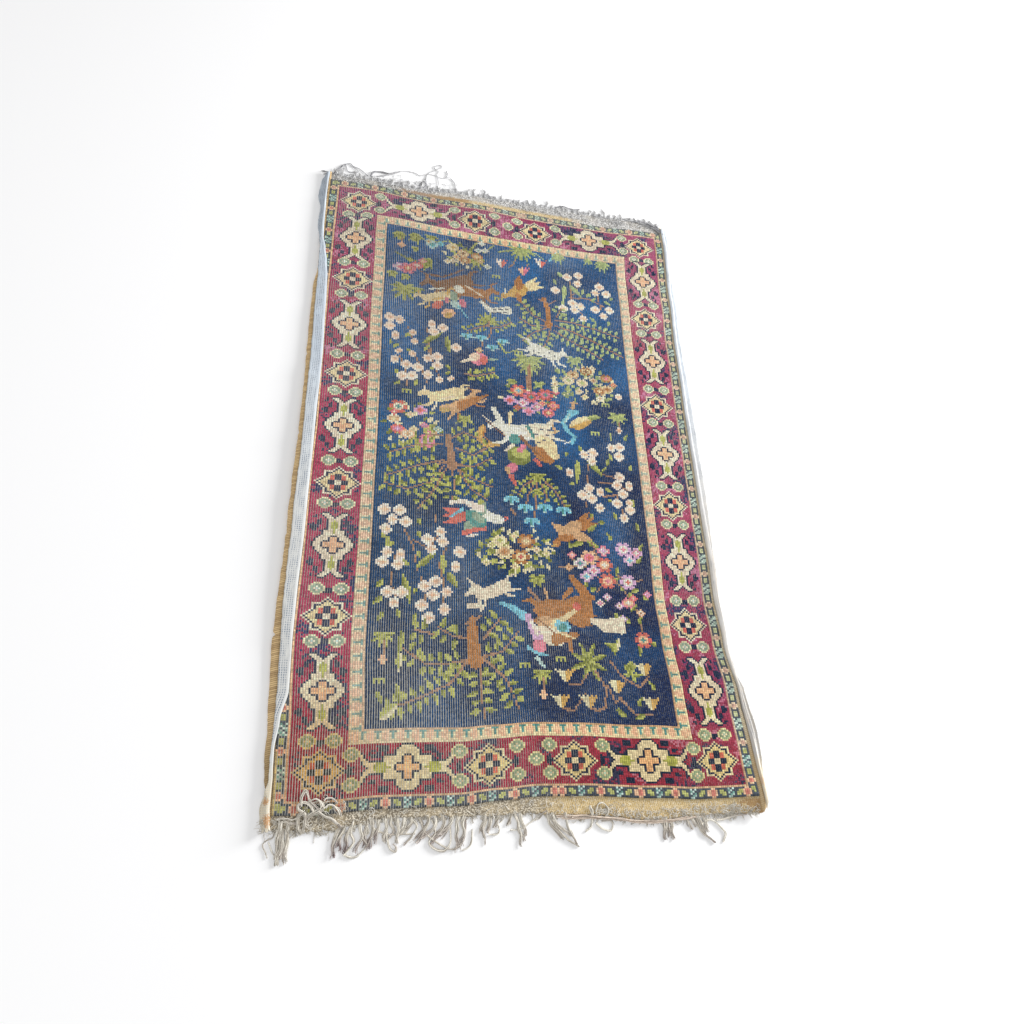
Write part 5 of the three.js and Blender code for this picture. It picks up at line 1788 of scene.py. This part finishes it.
# A bundle of loose wefts lies along the hem.
weft = np.linspace(0, 1, 60)[None, :]
weft_number = np.arange(9)[:, None]
weft_x = 38 + 200 * weft + 6 * np.random.default_rng(80).normal(0, 1, (9, 1))
weft_y = (bottom_edge(weft_x) - 1.2 - 0.7 * (weft_number % 4)
          + 2.2 * clouds(weft_x, weft_number * 3.1, 26, 1, 81))
weft_z = 1.4 + 0.9 * (weft_number // 4) + 0.7 * (1 + clouds(weft_x, weft_number * 5.7, 12, 1, 82))
wefts = (np.stack([weft_x, weft_y, weft_z], -1), np.full(weft_x.shape, 0.55))


def thread_finish(name):
    """Cotton yarn: the thread's own colour, with the twist of the yarn round it."""
    finish = Finish(name, 0.9)
    around, along, _ = finish.cloth()
    held = finish.node("ShaderNodeAttribute", {"attribute_name": "Wool"}).outputs["Color"]
    twist = peaks(around * 2 + along * 0.9)
    dust = finish.noise(260.0, finish.node("ShaderNodeTexCoord").outputs["Object"])
    colour = finish.mix(finish.smooth_step(twist, 0.5, 1.0) * 0.3, held,
                        finish.mix(0.6, held, paint(70, 62, 56)))
    colour = finish.layered(colour, (finish.smooth_step(dust, 0.5, 0.75) * 0.3, (232, 228, 220)))
    return finish.finish(colour, twist, strength=0.4, distance=0.0002)


THREAD_FINISH = thread_finish("greige warp ends")
shades = GREIGE, GREY_BROWN, TIP_BROWN
thread_piece("fringe_bottom_fuzz", [
    coloured(hem, *shades, 0, 76),
    coloured(curls, (232, 228, 218), (172, 164, 150), TIP_BROWN, 0, 79)], 4, THREAD_FINISH)
thread_piece("fringe_bottom_threads", [
    coloured(hanging, *shades, np.repeat(bottom_tips, BOTTOM_THREADS), 72),
    coloured(wefts, (226, 210, 194), (176, 160, 146), TIP_BROWN, 0, 83),
    *(coloured(group, *shades, 0.4 * (number % 2), 100 + number)
      for number, group in enumerate(drawn))], 6, THREAD_FINISH)

# %% [markdown]
# The top fringe has worn down to a short grey fuzz, with a loop of thread here and there.

# %% The top fringe
TOP_COUNT, TOP_FROM, TOP_TO = 58, -339, 346
TOP_SHORTEST, TOP_LONGEST, TOP_LEAN = 11, 27, 4
TOP_THREADS, TOP_PLACES = 9, 8
TOP_STRANDS = """
4 0.9 -332 587 -352 589 -365 590; 3 0.8 -337 584 -349 584 -360 578; 2 0.5 -340 590 -329 611
-313 623 -306 617 -293 613 -276 597; 2 0.5 -332 597 -322 619 -316 601 -306 600 -295 605
-310 618; 6 1.4 -258 600 -239 609 -224 618 -215 624; 4 0.9 -271 597 -267 609 -254 614 -234 614;
1 0.2 -234 615 -214 625 -197 630 -181 628 -173 623 -159 631 -143 632 -126 627 -110 636; 1 0.2
-158 591 -161 616 -156 634 -138 650 -128 658 -130 664 -140 660 -144 652 -135 644 -138 636
-135 611 -138 596; 1 0.3 -119 650 -117 640 -121 629; 2 0.4 -110 631 -102 620 -100 602; 2 0.5
-176 594 -167 609 -161 601 -168 589; 3 0.9 110 595 128 606 150 603 170 607; 4 1.2 262 600
290 596 318 588 338 582 350 572; 8 1.8 300 601 325 596 343 587 356 574; 6 1.5 326 594 344 583
357 568
"""
TOP_CURLS = table("""
    90 -342 -226 -9 6 2.6 7  40 -240 -100 -30 -2 4 8  60 -226 40 -8 6 2.4 6
    170 30 260 -6 20 2.2 5  90 240 348 -6 16 3 7""", 7)

number = np.arange(TOP_COUNT)
top_long = (0.5 + 0.5 * np.sin(2.3 * number)) * (0.6 + 0.4 * np.sin(0.55 * number + 1))
top_locks = np.stack([np.linspace(TOP_FROM, TOP_TO, TOP_COUNT),
                      TOP_SHORTEST + (TOP_LONGEST - TOP_SHORTEST) * top_long,
                      TOP_LEAN * np.sin(0.9 * number), 0 * number, 0 * number + 2.3], -1)
top_hair = locks_of_threads(top_locks, 1, top_edge, TOP_THREADS, TOP_PLACES, 0.5, 84)
dots = np.random.default_rng(86)
fuzz = locks_of_threads([(x, 4 + 9 * dots.random(), 6 * dots.normal(), 2 * dots.normal(), 0.9)
                         for x in dots.uniform(-343, 352, 420)], 1, top_edge, 2, 6, 0.45, 87)
top_drawn = strands(TOP_STRANDS, 30, 0.78, 300)
top_curls = tangle(TOP_CURLS, 10, top_edge, 1, 0.4, 89)
shades = (228, 228, 227), (158, 158, 162), (136, 130, 126)
thread_piece("fringe_top_threads", [
    coloured(top_hair, *shades, 0.2, 85), coloured(fuzz, *shades, 0, 88),
    coloured(top_curls, *shades, 0, 90),
    *(coloured(group, (178, 178, 180), (118, 118, 124), TIP_BROWN, 0, 400 + number)
      for number, group in enumerate(top_drawn))], 4, THREAD_FINISH)

# %% [markdown]
# ## The frame gives way
# The frame's plain solids give way to these pieces.

# %% What replaces what
RUG_PIECES = ("pile_field", "pile_inner_guard", "pile_main_border", "pile_outer_guard",
              "selvedge_left", "selvedge_right", "flat_weave_bottom", "flat_weave_top")
for name in RUG_PIECES:
    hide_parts("rug")
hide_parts("rug")
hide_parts("side_tape_left")
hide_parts("side_tape_right")
for name in ("fringe_bottom_threads", "fringe_bottom_fuzz"):
    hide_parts("fringe_bottom")
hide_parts("fringe_top")

# %% Sizes
low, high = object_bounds()
for axis, (a, b, c, d) in zip("xyz", zip(cad_low, cad_high, low, high)):
    print(axis, "frame", round(a * 1000, 1), round(b * 1000, 1),
          "visual", round(c * 1000, 1), round(d * 1000, 1))
